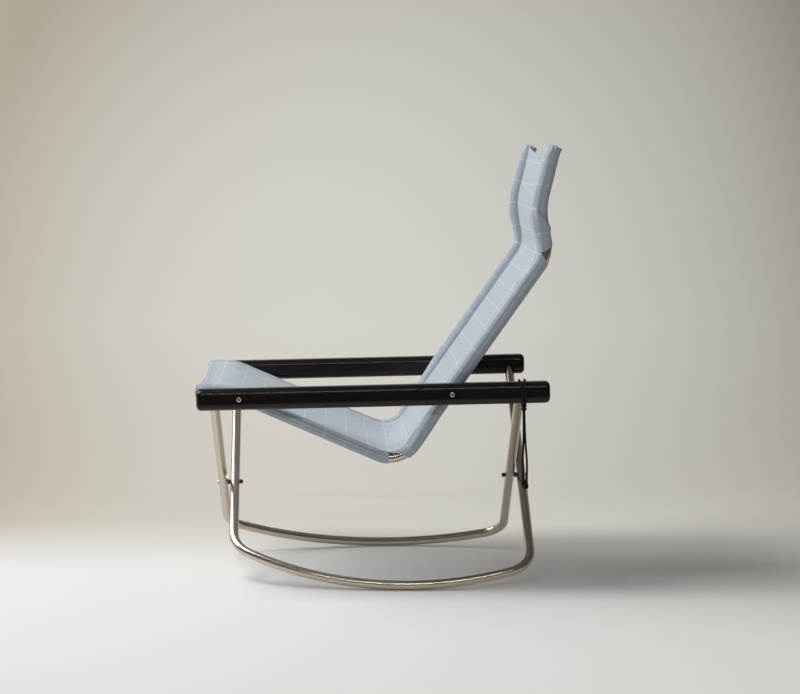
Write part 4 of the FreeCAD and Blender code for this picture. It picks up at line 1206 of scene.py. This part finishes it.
    def _stretch(self, name: str, side: Side, start: Cut, end: Cut, closed: bool,
                 finish: bpy.types.Material) -> bpy.types.Object:
        """One stretch of a sleeve, with raw ends or a gathered, closed one."""
        span = end.place - start.place
        count = max(6, int(span / self.sleeve_step))
        edge_share = self.raw_edge / span
        shares = [0.0, edge_share, *((row + 1) / count for row in range(count - 1)), 1 - edge_share, 1.0]
        verts: list[Vector] = []
        places: list[list[Point]] = []
        raw: list[float] = []
        for share in shares:
            flats = []
            for step in range(self.rings + 1):
                angle = self._angle(step)
                first, last = (cut.at(angle, self.sleeve_middle) for cut in (start, end))
                along = first + (last - first) * share
                out, ahead, flat = self._ring_at(along, step)
                rise = sum(fold.rise(flat, along) for fold in self.sleeve_folds)
                flats.append((side.value * flat, along))
                if step < self.rings:
                    near = max(0.0, 1 - (self.route.length + 0.003 - along) / self.pucker_length)
                    rise += self.pucker_height * near * near * (1 + math.cos(self.puckers * angle + side.value))
                    verts.append(self._round_rail(side, along, out, ahead, rise))
            places.append(flats)
            raw.append(1.0 if share == 0.0 or (share == 1.0 and not closed) else 0.0)
        if closed:
            self._gather(side, end.place, verts, places, raw)
        faces, cloth, edge = [], [], []
        for row in range(len(places) - 1):
            for step in range(self.rings):
                a, b = row * self.rings + step, row * self.rings + (step + 1) % self.rings
                faces.append((a, b, b + self.rings, a + self.rings))
                cloth.append([places[row][step], places[row][step + 1], places[row + 1][step + 1],
                              places[row + 1][step]])
                edge.append([(raw[row], 0.0)] * 2 + [(raw[row + 1], 0.0)] * 2)
        if side is Side.RIGHT:
            faces, cloth, edge = ([item[::-1] for item in group] for group in (faces, cloth, edge))
        piece = mesh_object(name, verts, faces, finish, {"Cloth": cloth, "Edge": edge})
        wall = piece.modifiers.new("Cloth", "SOLIDIFY")
        wall.thickness = self.thickness
        wall.offset = 0.0
        return applied(piece)

    def _ring_at(self, along: float, step: int) -> Triple:
        """One place of the section at a distance along the rail, the sections being worked out once each."""
        key = round(along * 2000)
        if key not in self.sections:
            self.sections[key] = self._ring(key / 2000)
        return self.sections[key][step]

    def _round_rail(self, side: Side, along: float, out: float, ahead: float, rise: float) -> Vector:
        """A point beside the rail, outward and forward of its axis, raised by a fold."""
        spot, way, normal = self.route.at(min(along, self.route.length))
        spot = spot + way * max(0.0, along - self.route.length)
        reach = math.hypot(out, ahead)
        grow = (reach + rise) / reach
        return BENCH.point(side.value * (BENCH.rail_x + out * grow), spot.x + normal.x * ahead * grow,
                           spot.y + normal.y * ahead * grow)

    def _gather(self, side: Side, end: float, verts: list[Vector], places: list[list[Point]],
                raw: list[float]) -> None:
        """Adds the puckered dome that closes a sleeve's end."""
        for row in range(1, self.gather_rows + 1):
            turn = math.pi / 2 * row / self.gather_rows
            flats = []
            for step in range(self.rings + 1):
                angle = self._angle(step)
                out, ahead, flat = self._ring_at(end, step)
                wave = 1 + math.cos(self.puckers * angle + side.value)
                shrink = max(0.02, math.cos(turn)) * (1 + self.pucker_share * math.cos(turn) * wave)
                tall = self.gather_height + 0.0016 * math.sin(angle) * math.cos(turn)
                along = end + math.sin(turn) * tall
                flats.append((side.value * flat, along + 0.006 * math.sin(turn)))
                if step < self.rings:
                    ahead = self.gather_centre + (ahead - self.gather_centre) * shrink
                    verts.append(self._round_rail(side, along, out * shrink, ahead, 0.0))
            places.append(flats)
            raw.append(0.0)


# Frame finishes

@dataclass
class FrameFinishes:
    """Wood on the arms, steel on the tubes, and the small fittings."""

    def build(self) -> None:
        """Dresses every node of the frame that shows."""
        wood = StainedWood().build()
        steel = SatinSteel().build()
        bright = SmallPart("BrightSteel", shade(0.72, 0.71, 0.68), 1.0, 0.22).build()
        bolts = BoltSteel().build()
        dark = SmallPart("BlackSteel", shade(0.02, 0.02, 0.021), 0.0, 0.35).build()
        plastic = SmallPart("BlackPlastic", shade(0.018, 0.018, 0.018), 0.0, 0.5).build()
        paired = {"armrest": wood, "leg_frame": steel, "side_rail": steel, "arm_bolts": bolts,
                  "arm_pivot_bolts": bright, "rail_inserts": bright, "rail_washers": plastic,
                  "rail_plugs": plastic, "leg_top_plugs": plastic}
        single = {"cross_bolt_front": bright, "cross_bolt_rear": bright, "cross_cap_nuts": dark,
                  "cross_spacers": plastic}
        for node, finish in paired.items():
            for side in Side:
                dress(f"{node}_{side.word}", finish)
        for node, finish in single.items():
            dress(node, finish)
        log.info("frame: arms, tubes and fittings dressed")


def main() -> None:
    """Builds the studio and the chair, piece by piece."""
    logging.basicConfig(level=logging.INFO, format="%(message)s")
    Studio().build()
    HitchedCord().build()
    Sling().build()
    FrameFinishes().build()


if __name__ == "__main__":
    main()
